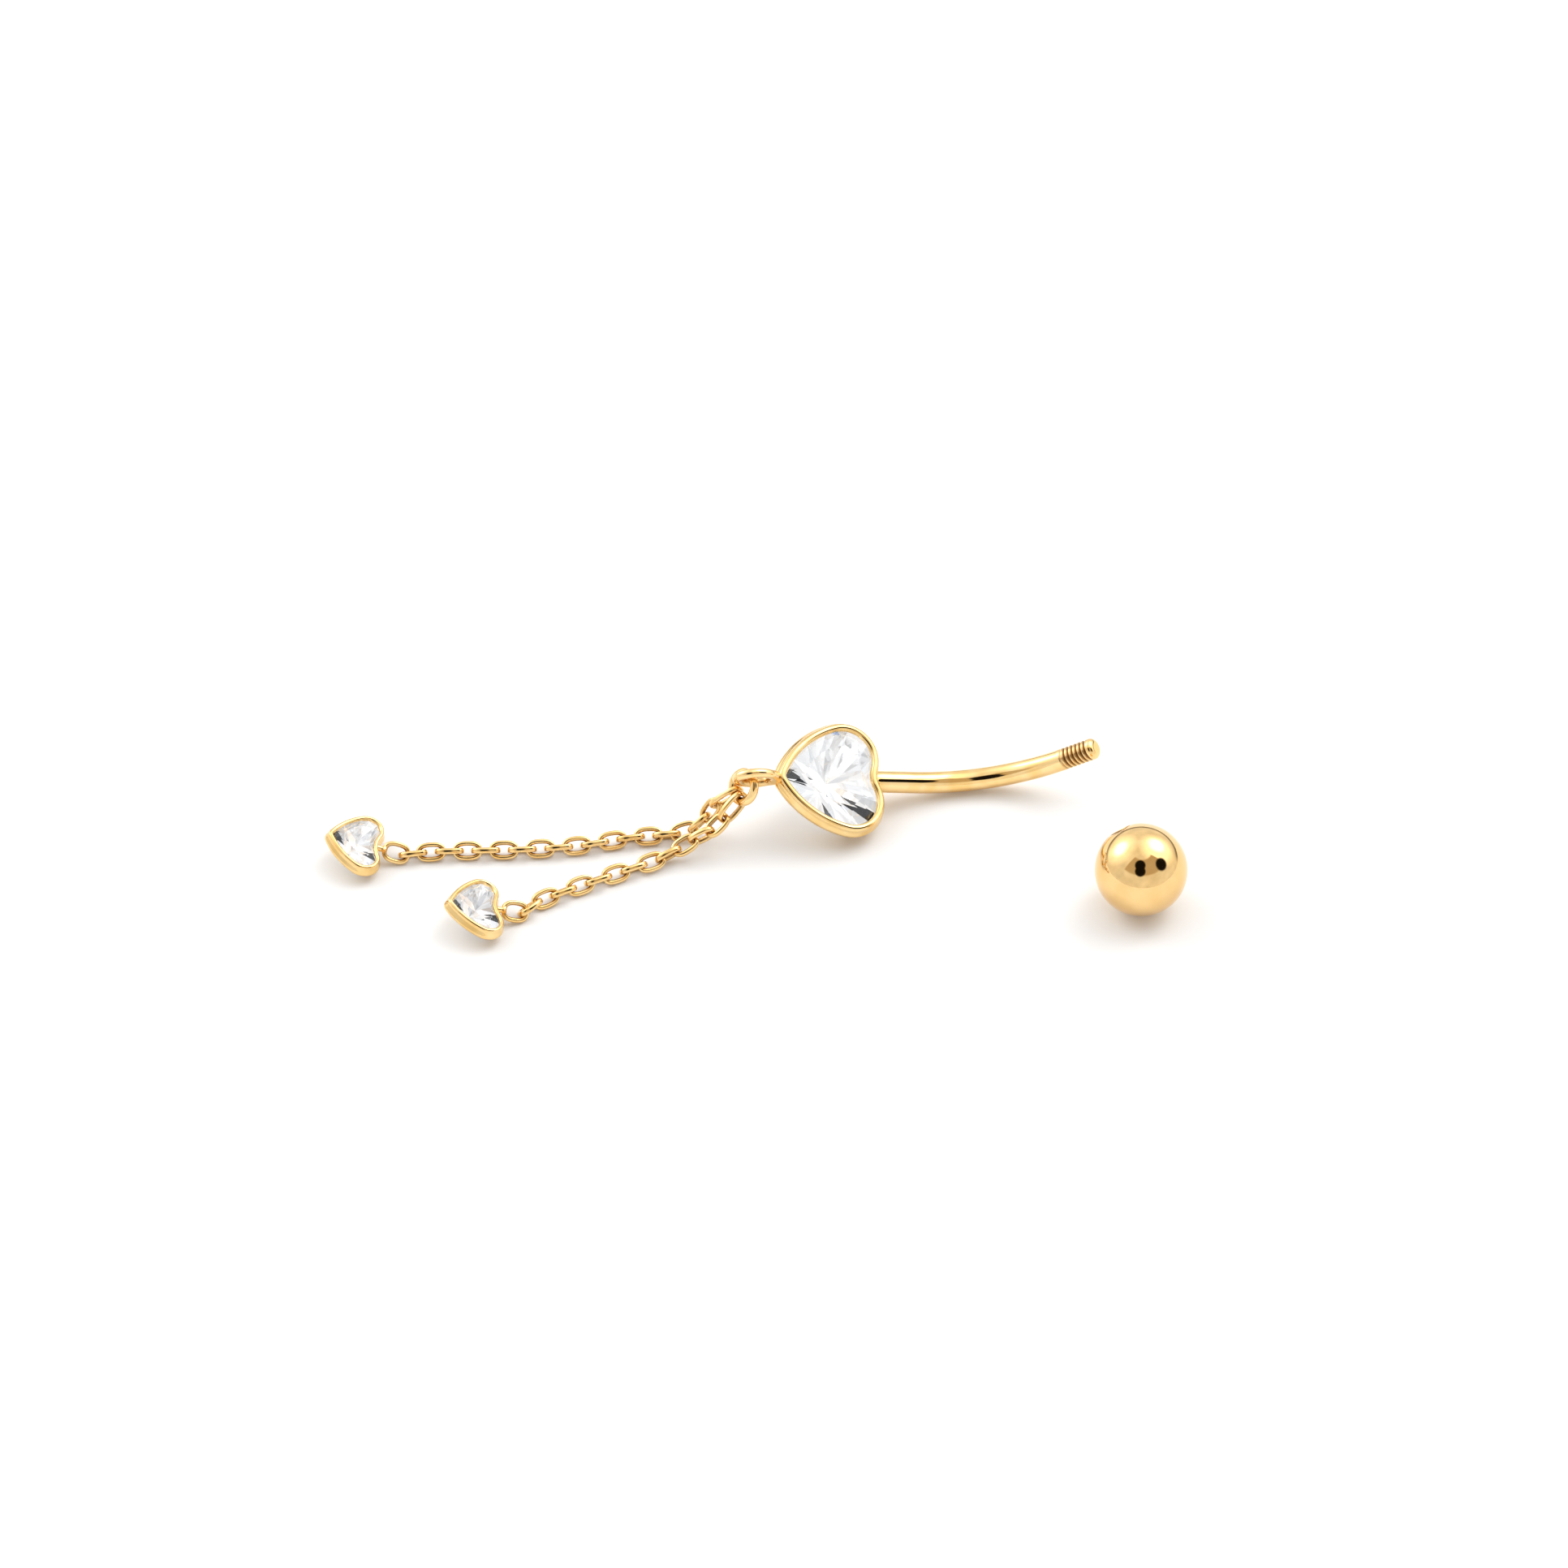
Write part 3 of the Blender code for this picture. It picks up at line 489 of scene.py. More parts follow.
def facets(name, fires):
    """A new material for facets, with its painted fire and the haze of dust that lies on it."""
    material = bpy.data.materials.new(name)
    material.use_nodes = True
    nodes = material.node_tree.nodes
    links = material.node_tree.links
    number = nodes.new("ShaderNodeAttribute")
    number.attribute_name = "fire"
    fire = nodes.new("ShaderNodeGroup")
    fire.node_tree = FACET_FIRE
    for socket, colour in zip(FIRE_NAMES, (*fires, PAINTED_FLASH_BLUE)):
        fire.inputs[socket].default_value = colour
    links.new(number.outputs["Fac"], fire.inputs["Fire"])
    place = nodes.new("ShaderNodeTexCoord")
    polish = nodes.new("ShaderNodeGroup")
    polish.node_tree = HAND_POLISH
    polish.inputs["Wave Scale"].default_value = 900.0
    polish.inputs["Line Scale"].default_value = 9000.0
    polish.inputs["Cloud Scale"].default_value = 700.0
    links.new(place.outputs["Object"], polish.inputs["Place"])
    haze = nodes.new("ShaderNodeMapRange")
    haze.inputs["From Min"].default_value = 0.4
    haze.inputs["From Max"].default_value = 0.9
    haze.inputs["To Min"].default_value = 0.0
    haze.inputs["To Max"].default_value = STONE_DUST
    links.new(polish.outputs["Clouds"], haze.inputs["Value"])
    return material, fire, haze


def crystal(name, fires):
    """Clear cut crystal: a breath of painted fire, a tint for split light, differs from facet to facet."""
    material, fire, haze = facets(name, fires)
    links = material.node_tree.links
    shader = material.node_tree.nodes["Principled BSDF"]
    shader.inputs["IOR"].default_value = 1.65
    shader.inputs["Transmission Weight"].default_value = 1.0
    links.new(fire.outputs["Colour"], shader.inputs["Base Color"])
    links.new(haze.outputs["Result"], shader.inputs["Roughness"])
    return material


def foil(name, fires, painted_glow):
    """The silvering under a stone, whose facets glow with painted light for light gone to and fro in it.

    The last argument holds the least and the most painted glow that a facet gives. Facets
    marked with shade are painted black and give none.
    """
    material, fire, haze = facets(name, fires)
    nodes = material.node_tree.nodes
    links = material.node_tree.links
    shader = nodes["Principled BSDF"]
    shader.inputs["Metallic"].default_value = 1.0
    shader.inputs["Emission Strength"].default_value = 1.0
    shade = nodes.new("ShaderNodeAttribute")
    shade.attribute_name = "shade"
    silver = nodes.new("ShaderNodeMix")
    silver.data_type = "RGBA"
    silver.inputs["A"].default_value = FOIL_GREY
    silver.inputs["B"].default_value = PAINTED_EXTINCTION
    links.new(shade.outputs["Fac"], silver.inputs["Factor"])
    links.new(silver.outputs["Result"], shader.inputs["Base Color"])
    frost = nodes.new("ShaderNodeMath")
    frost.operation = "ADD"
    frost.inputs[1].default_value = FOIL_ROUGHNESS
    links.new(haze.outputs["Result"], frost.inputs[0])
    links.new(frost.outputs[0], shader.inputs["Roughness"])

    # Painted glow: each lit facet emits its fire colour at a level set by chance.
    level = nodes.new("ShaderNodeMapRange")
    level.inputs["To Min"].default_value = painted_glow[0]
    level.inputs["To Max"].default_value = painted_glow[1]
    links.new(fire.outputs["Chance"], level.inputs["Value"])
    lit = nodes.new("ShaderNodeMath")
    lit.operation = "SUBTRACT"
    lit.inputs[0].default_value = 1.0
    links.new(shade.outputs["Fac"], lit.inputs[1])
    share = nodes.new("ShaderNodeMath")
    share.operation = "MULTIPLY"
    links.new(level.outputs["Result"], share.inputs[0])
    links.new(lit.outputs[0], share.inputs[1])
    glow = nodes.new("ShaderNodeVectorMath")
    glow.operation = "SCALE"
    links.new(fire.outputs["Colour"], glow.inputs[0])
    links.new(share.outputs[0], glow.inputs["Scale"])
    links.new(glow.outputs[0], shader.inputs["Emission Color"])
    return material


# Painted fire: the tints given to the heart stone's facets, white, cool, warm and grey.
HEART_FIRES = ((1.0, 1.0, 1.0, 1.0), (0.96, 0.98, 1.0, 1.0), (1.0, 0.975, 0.95, 1.0),
               (0.97, 0.97, 0.98, 1.0))
new_piece("heart_stone_cut", cut_stone(HEART, HEART_MAINS, HEART_DARK, HEART_BLUE), HEART_PLACE,
          crystal("heart_crystal", HEART_FIRES), "heart_stone", smooth=False,
          silvering=foil("heart_glowing_foil", HEART_FIRES, (0.42, 0.78)))


# Post: the curved bar that goes through the navel. Round gold wire, bent to a banana curve
# and soldered to the back of the heart's notch, its free end cut with a fine screw thread
# and rounded off. A little solder stands in the corner where it meets the setting.
POST_RADIUS = 0.0006
POST_STRAIGHT = 0.00267
POST_BEND_RADIUS = 0.00824
POST_BEND = math.radians(60.1)
POST_BELOW_GIRDLE = 0.00028
THREAD_LENGTH = 0.00187
THREAD_PITCH = 0.00027
THREAD_DEPTH = 0.0001
POST_TIP_LENGTH = 0.0003
POST_TIP_FLAT_RADIUS = 0.00025
SOLDER_REACH = 0.0004
SOLDER_SWELL = 0.00004
ROOT_IN_WALL = 0.4
# Painted shade in the thread's valleys, by how deep they are cut.
THREAD_SHADE = 1.3
TIP_RUN_OUT = 4
POST_SIDES = 40
SOLDER_ROWS = 8
BEND_ROWS = 80
TIP_ROWS = 8
THREAD_ROWS = 16
GOLD_LIGHT = (0.97, 0.69, 0.33, 1.0)
GOLD_DEEP = (0.92, 0.60, 0.23, 1.0)


def notch_reach(heart, grow):
    """Where the straight shoulders of an outline would meet, on the heart's X axis."""
    shoulder = math.radians(heart.shoulder)
    across = (heart.width / 2 - heart.lobe_radius) * math.sin(shoulder)
    corner = (heart.lobe_radius + grow - across) / math.cos(shoulder)
    return heart.length - heart.lobe_radius + corner - heart.culet_from_tip


def bar_place(distance):
    """The place on the bar's centre line at a distance from its root, in the heart's frame."""
    root = Vector((notch_reach(HEART, SEAT_GAP) + ROOT_IN_WALL * HEART.wall, 0, -POST_BELOW_GIRDLE))
    bent = min(max(distance - POST_STRAIGHT, 0.0) / POST_BEND_RADIUS, POST_BEND)
    rest = max(distance - POST_STRAIGHT - POST_BEND_RADIUS * POST_BEND, 0.0)
    point = root + Vector((min(distance, POST_STRAIGHT), 0, 0))
    point += POST_BEND_RADIUS * Vector((math.sin(bent), 0, 1 - math.cos(bent)))
    point += rest * Vector((math.cos(bent), 0, math.sin(bent)))
    return Matrix.Translation(point) @ Matrix.Rotation(-bent, 4, "Y")


def round_section(place, radii):
    """Points round the local X axis of a place, one for each radius."""
    points = []
    for i, radius in enumerate(radii):
        turn = 2 * math.pi * i / len(radii)
        points.append(place @ Vector((0, radius * math.cos(turn), radius * math.sin(turn))))
    return points


def thread_cut(distance, turn):
    """How deep the screw thread cuts, from 0 to 1, at a distance along it and a turn round it."""
    phase = (distance / THREAD_PITCH - turn / (2 * math.pi)) % 1.0
    valley = abs(2.0 * phase - 1.0)
    valley = valley * valley * (3 - 2 * valley)
    run_out = min(distance, TIP_RUN_OUT * (THREAD_LENGTH - distance)) / THREAD_PITCH
    return valley * min(1.0, max(0.0, run_out))


def threaded_rows(major, place_at, sides):
    """Rings, and marks of painted shade in its grooves, for a screw thread that starts at place_at(0)."""
    rings = []
    marks = []
    rows = round(THREAD_ROWS * THREAD_LENGTH / THREAD_PITCH)
    for row in range(1, rows + 1):
        distance = THREAD_LENGTH * row / rows
        cuts = [thread_cut(distance, 2 * math.pi * i / sides) for i in range(sides)]
        rings.append(round_section(place_at(distance), [major - THREAD_DEPTH * c for c in cuts]))
        # Painted shade: the thread's valleys are marked darker brown by how deep they are cut.
        marks.append([min(1.0, THREAD_SHADE * c) for c in cuts])
    return rings, marks


def bar():
    """The bar from its solder to its rounded tip."""
    rings = []
    splay = math.tan(math.radians(HEART.shoulder))
    lean = HEART.back_taper / HEART.back_depth
    for i in range(SOLDER_ROWS + 1):
        share = 1 - i / SOLDER_ROWS
        radius = POST_RADIUS + SOLDER_SWELL * share ** 2
        ring = round_section(bar_place(SOLDER_REACH * i / SOLDER_ROWS), [radius] * POST_SIDES)
        shaped = []
        for point in ring:
            back = min(0.0, point.z + POST_BELOW_GIRDLE) * lean
            shaped.append(point + Vector(((back + abs(point.y) * splay) * share, 0, 0)))
        rings.append(shaped)
    start = POST_STRAIGHT + POST_BEND_RADIUS * POST_BEND
    for i in range(1, BEND_ROWS + 1):
        distance = SOLDER_REACH + (start - SOLDER_REACH) * i / BEND_ROWS
        rings.append(round_section(bar_place(distance), [POST_RADIUS] * POST_SIDES))
    marks = [[0.0] * POST_SIDES for _ in rings]
    thread_rings, thread_marks = threaded_rows(POST_RADIUS, lambda d: bar_place(start + d), POST_SIDES)
    rings += thread_rings
    marks += thread_marks
    for i in range(1, TIP_ROWS + 1):
        turn = math.pi / 2 * i / TIP_ROWS
        radius = POST_TIP_FLAT_RADIUS + (POST_RADIUS - POST_TIP_FLAT_RADIUS) * math.cos(turn)
        end = start + THREAD_LENGTH + POST_TIP_LENGTH * math.sin(turn)
        rings.append(round_section(bar_place(end), [radius] * POST_SIDES))
        marks.append([0.0] * POST_SIDES)
    return skin(rings, closed=False, marks=marks)


bar_gold = gold("bar_gold", GOLD_LIGHT, GOLD_DEEP, 0.03, 0.09, 0.000004)
new_piece("barbell_post_turned", bar(), HEART_PLACE, bar_gold, "barbell")


# Eye: an oval of thicker gold wire, soldered upright on the heart's tip so that its hole
# runs across the heart. The chains hang from it.
EYE_LENGTH = 0.00265
EYE_WIDTH = 0.00203
EYE_WIRE = 0.00053
EYE_BELOW_GIRDLE = 0.0001
EYE_SOLDER = 0.00008
EYE_SWELL = 0.35
SOLDER_FROM = 0.72
CUT_SPREAD = 0.8
# Painted shade on the inside of wire loops, and how fast it fades round the wire.
WIRE_INSIDE_SHADE = 0.35
INSIDE_SHADE_FALL = 1.2
WIRE_ROWS = 72
WIRE_SIDES = 24


def wire_loop(length, width, wire, rows=WIRE_ROWS, sides=WIRE_SIDES, solder=0.0, squareness=2.0,
              cut=0.0, inside_shade=WIRE_INSIDE_SHADE):
    """A closed loop of wire in the local XY plane, longer along X.

    Solder swells it at its +X end, cut planes the crown of its outside by that share and
    spreads it to the sides, and the last argument is painted shade that darkens its inside,
    the side that faces into the loop.
    """
    half_long = (length - wire) / 2
    half_wide = (width - wire) / 2
    power = 2.0 / squareness
    line = []
    for i in range(rows):
        turn = 2 * math.pi * (i + 0.5) / rows
        c = math.cos(turn)
        s = math.sin(turn)
        line.append(Vector((half_long * math.copysign(abs(c) ** power, c),
                            half_wide * math.copysign(abs(s) ** power, s), 0)))
    rings = []
    for i, point in enumerate(line):
        along = (line[(i + 1) % rows] - line[i - 1]).normalized()
        out = Vector((along.y, -along.x, 0))
        swell = 1.0 + solder * max(0.0, (point.x / half_long - SOLDER_FROM) / (1 - SOLDER_FROM)) ** 2
        ring = []
        for j in range(sides):
            turn = 2 * math.pi * (j + 0.5) / sides
            away = math.cos(turn)
            if away > 0:
                away = (away - cut * away ** 3) / (1 - cut)
            up = math.sin(turn) * (1 + CUT_SPREAD * cut)
            ring.append(point + wire / 2 * swell * (out * away + Vector((0, 0, up))))
        rings.append(ring)
    # Painted shade: the side of the wire that faces into the loop is marked to be darkened brown.
    inside = []
    for j in range(sides):
        facing = max(0.0, -math.cos(2 * math.pi * (j + 0.5) / sides))
        inside.append(inside_shade * facing ** INSIDE_SHADE_FALL)
    return skin(rings, closed=True, marks=[inside] * rows)


wire_gold = gold("wire_gold", GOLD_LIGHT, GOLD_DEEP, 0.04, 0.12, 0.000004)
tip_reach = heart_line(HEART, HEART.wall, HEART_STEPS)[0][0]
eye_middle = Vector((tip_reach + EYE_SOLDER - EYE_LENGTH / 2, 0, -EYE_BELOW_GIRDLE))
EYE_PLACE = HEART_PLACE @ Matrix.Translation(eye_middle) @ Matrix.Rotation(math.radians(90), 4, "X")
new_piece("barbell_eye_wire", wire_loop(EYE_LENGTH, EYE_WIDTH, EYE_WIRE, solder=EYE_SWELL),
          EYE_PLACE, wire_gold, "barbell")


# Jump ring: a round ring of the same wire, opened, passed through the eye and through the
# first link of both chains, and closed again.
RING_SIZE = 0.00209
RING_WIRE = 0.00049


def node_place(node):
    """A loop's place, read from its node: X its longest way, Z across its hole."""
    points = numpy.array([v.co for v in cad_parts[node].data.vertices])
    middle = points.mean(axis=0)
    _, ways = numpy.linalg.eigh(numpy.cov((points - middle).T))
    longest = Vector(ways[:, 2])
    across = Vector(ways[:, 0])
    wide = across.cross(longest)
    turn = Matrix((longest, wide, across)).transposed().to_4x4()
    return Matrix.Translation(Vector(middle)) @ turn


new_piece("jump_ring_wire", wire_loop(RING_SIZE, RING_SIZE, RING_WIRE), node_place("jump_ring"),
          wire_gold, "jump_ring")


# Chains: two lengths of fine cable chain. Each link is a long oval of gold wire, its
# outside planed flatter so that it glints, its ends butted and soldered. The link that takes
# the jump ring is longer and wider.
LINK_LENGTH = 0.00162
LINK_WIDTH = 0.00106
LINK_WIRE = 0.00027
LINK_SQUARENESS = 2.6
LINK_CUT = 0.26
# Painted shade on the inside of each link.
LINK_INSIDE_SHADE = 0.6
LINK_ROWS = 48
LINK_SIDES = 16
LINK_LIGHT = (0.93, 0.66, 0.30, 1.0)
LINK_DEEP = (0.86, 0.56, 0.21, 1.0)
END_LINK_LENGTH = 0.0021
END_LINK_WIDTH = 0.0013
LONG_CHAIN_LINKS = 19
SHORT_CHAIN_LINKS = 13

link_gold = gold("link_gold", LINK_LIGHT, LINK_DEEP, 0.09, 0.2, 0.000005, wave_scale=2400.0)


def link(length, width):
    """One link of the chain's own wire, its outside planed."""
    return wire_loop(length, width, LINK_WIRE, LINK_ROWS, LINK_SIDES, squareness=LINK_SQUARENESS,
                     cut=LINK_CUT, inside_shade=LINK_INSIDE_SHADE)


for chain, count in (("long_chain", LONG_CHAIN_LINKS), ("short_chain", SHORT_CHAIN_LINKS)):
    for number in range(1, count):
        node = "%s_link_%02d" % (chain, number)
        new_piece(node + "_cut", link(LINK_LENGTH, LINK_WIDTH), node_place(node), link_gold, node)
    node = "%s_link_%02d" % (chain, count)
    new_piece(node + "_cut", link(END_LINK_LENGTH, END_LINK_WIDTH), node_place(node), link_gold, node)


# Drops: a small heart stone in its own bezel on the end of each chain, made as the big one
# is, with a short peg and a last link soldered behind the notch.
DROP = SimpleNamespace(
    length=0.00259, width=0.0034, lobe_radius=0.0007, side_radius=0.00368, tip_radius=0.00021,
    shoulder=20.5, crown_height=0.00036, pavilion_depth=0.00115, girdle=0.00008,
    culet_from_tip=0.00147, wall=0.0002, lip=0.00006, rim_height=0.00026, back_depth=0.00082,
    back_taper=0.00037, back_ring=0.00015, belly=0.00012, belly_below=0.00027, crown_angle=33.0,
    notch_round=0.0006)
LONG_DROP_PLACE = lying(-3.4, 18.3, 2.1, (-0.0214281, 0.0001217, 0.0012252))
SHORT_DROP_PLACE = lying(10.5, 20.7, 2.9, (-0.0147711, -0.0047888, 0.0013243))
DROP_STEPS = 8
DROP_MAINS = 4
PEG_RADIUS = 0.0002
PEG_WAIST = 0.82
PEG_FLARE = 0.6
PEG_ROWS = 8
PEG_SIDES = 16
DROP_LINK_LENGTH = 0.00155
DROP_LINK_WIDTH = 0.0012
DROP_LINK_FROM_NOTCH = 0.00038
DROP_LINK_TURN = math.radians(40)
DROP_DARK = (0, 5, 7)

# Painted fire: the tints given to the drop stones' facets, white, cool, warm and grey.
DROP_FIRES = ((1.0, 1.0, 1.0, 1.0), (0.95, 0.96, 1.0, 1.0), (1.0, 0.86, 0.74, 1.0),
              (0.98, 0.98, 0.98, 1.0))
drop_crystal = crystal("drop_crystal", DROP_FIRES)
drop_glowing_foil = foil("drop_glowing_foil", DROP_FIRES, (0.32, 0.74))
wall_end = notch_reach(DROP, DROP.wall)
link_end = wall_end + DROP_LINK_FROM_NOTCH


def peg():
    """The short peg from inside the wall to the link, narrow at its middle."""
    foot = wall_end - DROP.wall / 2
    reach = link_end + LINK_WIRE / 2 - wall_end + DROP.wall / 2
    rings = []
    for i in range(PEG_ROWS + 1):
        share = i / PEG_ROWS
        radius = PEG_RADIUS * (PEG_WAIST + PEG_FLARE * (2 * share - 1) ** 4)
        rings.append(round_section(Matrix.Translation((foot + share * reach, 0, 0)), [radius] * PEG_SIDES))
    return skin(rings, closed=False)


for drop, place in (("long_drop", LONG_DROP_PLACE), ("short_drop", SHORT_DROP_PLACE)):
    setting = drop + "_setting"
    new_piece(drop + "_bezel", bezel(DROP, DROP_STEPS), place, setting_gold, setting)
    new_piece(drop + "_peg_solder", peg(), place, wire_gold, setting)
    own_place = place @ Matrix.Translation((link_end + DROP_LINK_LENGTH / 2, 0, 0))
    own_place = own_place @ Matrix.Rotation(DROP_LINK_TURN, 4, "X")
    new_piece(drop + "_own_link_cut", link(DROP_LINK_LENGTH, DROP_LINK_WIDTH), own_place, link_gold,
              setting)
    new_piece(drop + "_stone_cut", cut_stone(DROP, DROP_MAINS, DROP_DARK, ()), place, drop_crystal,
              drop + "_stone", smooth=False, silvering=drop_glowing_foil)


# Ball: the cap that screws on the bar and holds the ring in the piercing. It is turned
# from gold, drilled and tapped, given a small flat round the hole, and polished. Here it is
# unscrewed and lies beside the bar, with its hole turned up and away.
BALL_RADIUS = 0.0025
BALL_FLAT_WIDTH = 0.00012
BORE_RADIUS = 0.00063
BORE_DEPTH = 0.0021
BORE_CONE = 0.00021
# Painted shade inside the drilled hole.
BORE_SHADE = 0.6
BALL_SIDES = 80
BALL_ROWS = 56
BALL_POLE_DEPTH = 0.99999
BALL_POLE_WIDTH = 0.004
BALL_LIGHT = (0.88, 0.60, 0.27, 1.0)
BALL_DEEP = (0.84, 0.55, 0.23, 1.0)
BALL_PLACE = lying(128.0, -40.4, 0.0, (0.020737, -0.0032138, 0.0025386))


def drilled_ball():
    """The ball round its screw axis: the bore's end, its thread, the flat and the sphere."""
    flat_radius = BORE_RADIUS + BALL_FLAT_WIDTH
    mouth = math.sqrt(BALL_RADIUS ** 2 - flat_radius ** 2)
    thread_foot = mouth - THREAD_LENGTH
    rings = []

    def turned(x, radius):
        rings.append(round_section(Matrix.Translation((x, 0, 0)), [radius] * BALL_SIDES))

    turned(mouth - BORE_DEPTH - BORE_CONE, BORE_RADIUS / 8)
    turned(mouth - BORE_DEPTH, BORE_RADIUS)
    turned(thread_foot, BORE_RADIUS)
    # Painted shade: the bore's inside is marked to be darkened brown.
    marks = [[BORE_SHADE] * BALL_SIDES for _ in rings]
    thread_rings, thread_marks = threaded_rows(
        BORE_RADIUS, lambda d: Matrix.Translation((thread_foot + d, 0, 0)), BALL_SIDES)
    rings += thread_rings
    marks += thread_marks
    first = math.asin(flat_radius / BALL_RADIUS)
    for row in range(BALL_ROWS):
        turn = first + (math.pi - first) * row / BALL_ROWS
        turned(BALL_RADIUS * math.cos(turn), BALL_RADIUS * math.sin(turn))
        marks.append([0.0] * BALL_SIDES)
    turned(-BALL_RADIUS * BALL_POLE_DEPTH, BALL_RADIUS * BALL_POLE_WIDTH)
    marks.append([0.0] * BALL_SIDES)
    return skin(rings, closed=False, marks=marks)


ball_gold = gold("ball_gold", BALL_LIGHT, BALL_DEEP, 0.03, 0.07, 0.000002)
new_piece("ball_turned", drilled_ball(), BALL_PLACE, ball_gold, "ball")


# Table: a smooth pale sheet of matt card that runs on well past the picture on every side.
# It has the faintest change of tone, and only holds the ring up.
TABLE_REACH = 0.6
TABLE_SQUARES = 8
TABLE_WHITE = (0.89, 0.89, 0.89, 1.0)
TABLE_PALE = (0.895, 0.895, 0.897, 1.0)

table_mesh = bmesh.new()
bmesh.ops.create_grid(table_mesh, x_segments=TABLE_SQUARES, y_segments=TABLE_SQUARES, size=TABLE_REACH)
sheet = bpy.data.meshes.new("table_sheet")
table_mesh.to_mesh(sheet)
table_mesh.free()
table = bpy.data.objects.new("table_sheet", sheet)
bpy.context.scene.collection.objects.link(table)
paper = bpy.data.materials.new("pale_sheet")
paper.use_nodes = True
paper_nodes = paper.node_tree.nodes
paper_shader = paper_nodes["Principled BSDF"]
paper_shader.inputs["Specular IOR Level"].default_value = 0.2
paper_shader.inputs["Roughness"].default_value = 0.8
paper_noise = paper_nodes.new("ShaderNodeTexNoise")
paper_noise.inputs["Scale"].default_value = 30.0
paper_tone = paper_nodes.new("ShaderNodeMix")
paper_tone.data_type = "RGBA"
paper_tone.inputs["A"].default_value = TABLE_WHITE
paper_tone.inputs["B"].default_value = TABLE_PALE
paper.node_tree.links.new(paper_noise.outputs["Fac"], paper_tone.inputs["Factor"])
paper.node_tree.links.new(paper_tone.outputs["Result"], paper_shader.inputs["Base Color"])
sheet.materials.append(paper)


# Light tent: soft white cloth all round, with two lamps behind it to the left and right. At
# the front it is open and darker, with black spots, and at the back it stops above the table.
# Each lamp is a bright core and a wide faint halo, given by direction, strength and two angles.
LAMPS = (((-0.693, 0.40, 0.60), 2.6, 21.0, 0.0), ((-0.693, 0.40, 0.60), 0.7, 42.0, 8.0),
         ((0.489, 0.418, 0.764), 2.8, 22.0, 0.0), ((0.56, 0.24, 0.79), 1.0, 46.0, 8.0))
BLACK_SPOTS = (((-0.10, -0.745, 0.66), 15.0, 11.0), ((-0.10, -0.549, 0.83), 15.0, 11.0),
               ((0.726, -0.305, 0.614), 17.0, 12.0))
TENT_LIGHT = 1.0
FRONT_LIGHT = 0.96
BACK_GAP_LIGHT = 0.3
FOLD_DEPTH = 0.5
FOLD_SCALE = 3.2
FOLD_DETAIL = 1.5
OPENING_LIGHT = 0.62
OPENING_TINT = (1.0, 0.84, 0.62, 1.0)
SPOT_LIGHT = 0.01
OPENING_HEADING = math.radians(10)
OPENING_SIDE = math.radians(66)
OPENING_LOW = math.radians(31)
OPENING_HIGH = math.radians(70)
FRONT_SIDE = math.radians(105)
GAP_SIDE = math.radians(110)
SOFT_SIDE = math.radians(10)
EDGE = math.radians(3)
BACKGROUND_LIGHT = 1.0

world = bpy.data.worlds.new("light_tent")
bpy.context.scene.world = world
world.use_nodes = True
tent_nodes = world.node_tree.nodes
tent_links = world.node_tree.links
tent_nodes.clear()
toward = tent_nodes.new("ShaderNodeTexCoord").outputs["Generated"]


def tent_math(operation, *values):
    """A Math node whose inputs are sockets or plain numbers."""
    node = tent_nodes.new("ShaderNodeMath")
    node.operation = operation
    for socket, value in zip(node.inputs, values):
        if isinstance(value, (int, float)):
            socket.default_value = value
        else:
            tent_links.new(value, socket)
    return node.outputs[0]


def soft_step(value, low, high):
    """0 below low and 1 above high, with a smooth rise between them."""
    node = tent_nodes.new("ShaderNodeMapRange")
    node.interpolation_type = "SMOOTHSTEP"
    node.inputs["From Min"].default_value = min(low, high)
    node.inputs["From Max"].default_value = max(low, high)
    if low > high:
        node.inputs["To Min"].default_value = 1.0
        node.inputs["To Max"].default_value = 0.0
    tent_links.new(value, node.inputs["Value"])
    return node.outputs["Result"]


def spot(direction, edge, core):
    """1 within core degrees of a direction, falling to 0 at edge degrees from it."""
    dot = tent_nodes.new("ShaderNodeVectorMath")
    dot.operation = "DOT_PRODUCT"
    dot.inputs[1].default_value = Vector(direction).normalized()
    tent_links.new(toward, dot.inputs[0])
    return soft_step(dot.outputs["Value"], math.cos(math.radians(edge)), math.cos(math.radians(core)))


def laid_over(under, mask, level):
    """Light that turns to a level where a mask is 1."""
    kept = tent_math("MULTIPLY", under, tent_math("SUBTRACT", 1.0, mask))
    return tent_math("ADD", kept, tent_math("MULTIPLY", mask, level))


parts = tent_nodes.new("ShaderNodeSeparateXYZ")
tent_links.new(toward, parts.inputs[0])
height = tent_math("ARCSINE", parts.outputs["Z"])
heading = tent_math("ARCTAN2", parts.outputs["X"], tent_math("MULTIPLY", parts.outputs["Y"], -1.0))
sideways = tent_math("ABSOLUTE", heading)
off_opening = tent_math("ABSOLUTE", tent_math("SUBTRACT", heading, OPENING_HEADING))
opening = tent_math("MULTIPLY", soft_step(off_opening, OPENING_SIDE + EDGE, OPENING_SIDE - EDGE),
                    tent_math("MULTIPLY", soft_step(height, OPENING_LOW - EDGE, OPENING_LOW + EDGE),
                              soft_step(height, OPENING_HIGH + EDGE, OPENING_HIGH - EDGE)))
front = tent_math("MULTIPLY", soft_step(sideways, FRONT_SIDE + SOFT_SIDE, FRONT_SIDE - SOFT_SIDE),
                  soft_step(height, OPENING_LOW + 4 * EDGE, OPENING_LOW - EDGE))
light = tent_math("MULTIPLY_ADD", front, FRONT_LIGHT - TENT_LIGHT, TENT_LIGHT)

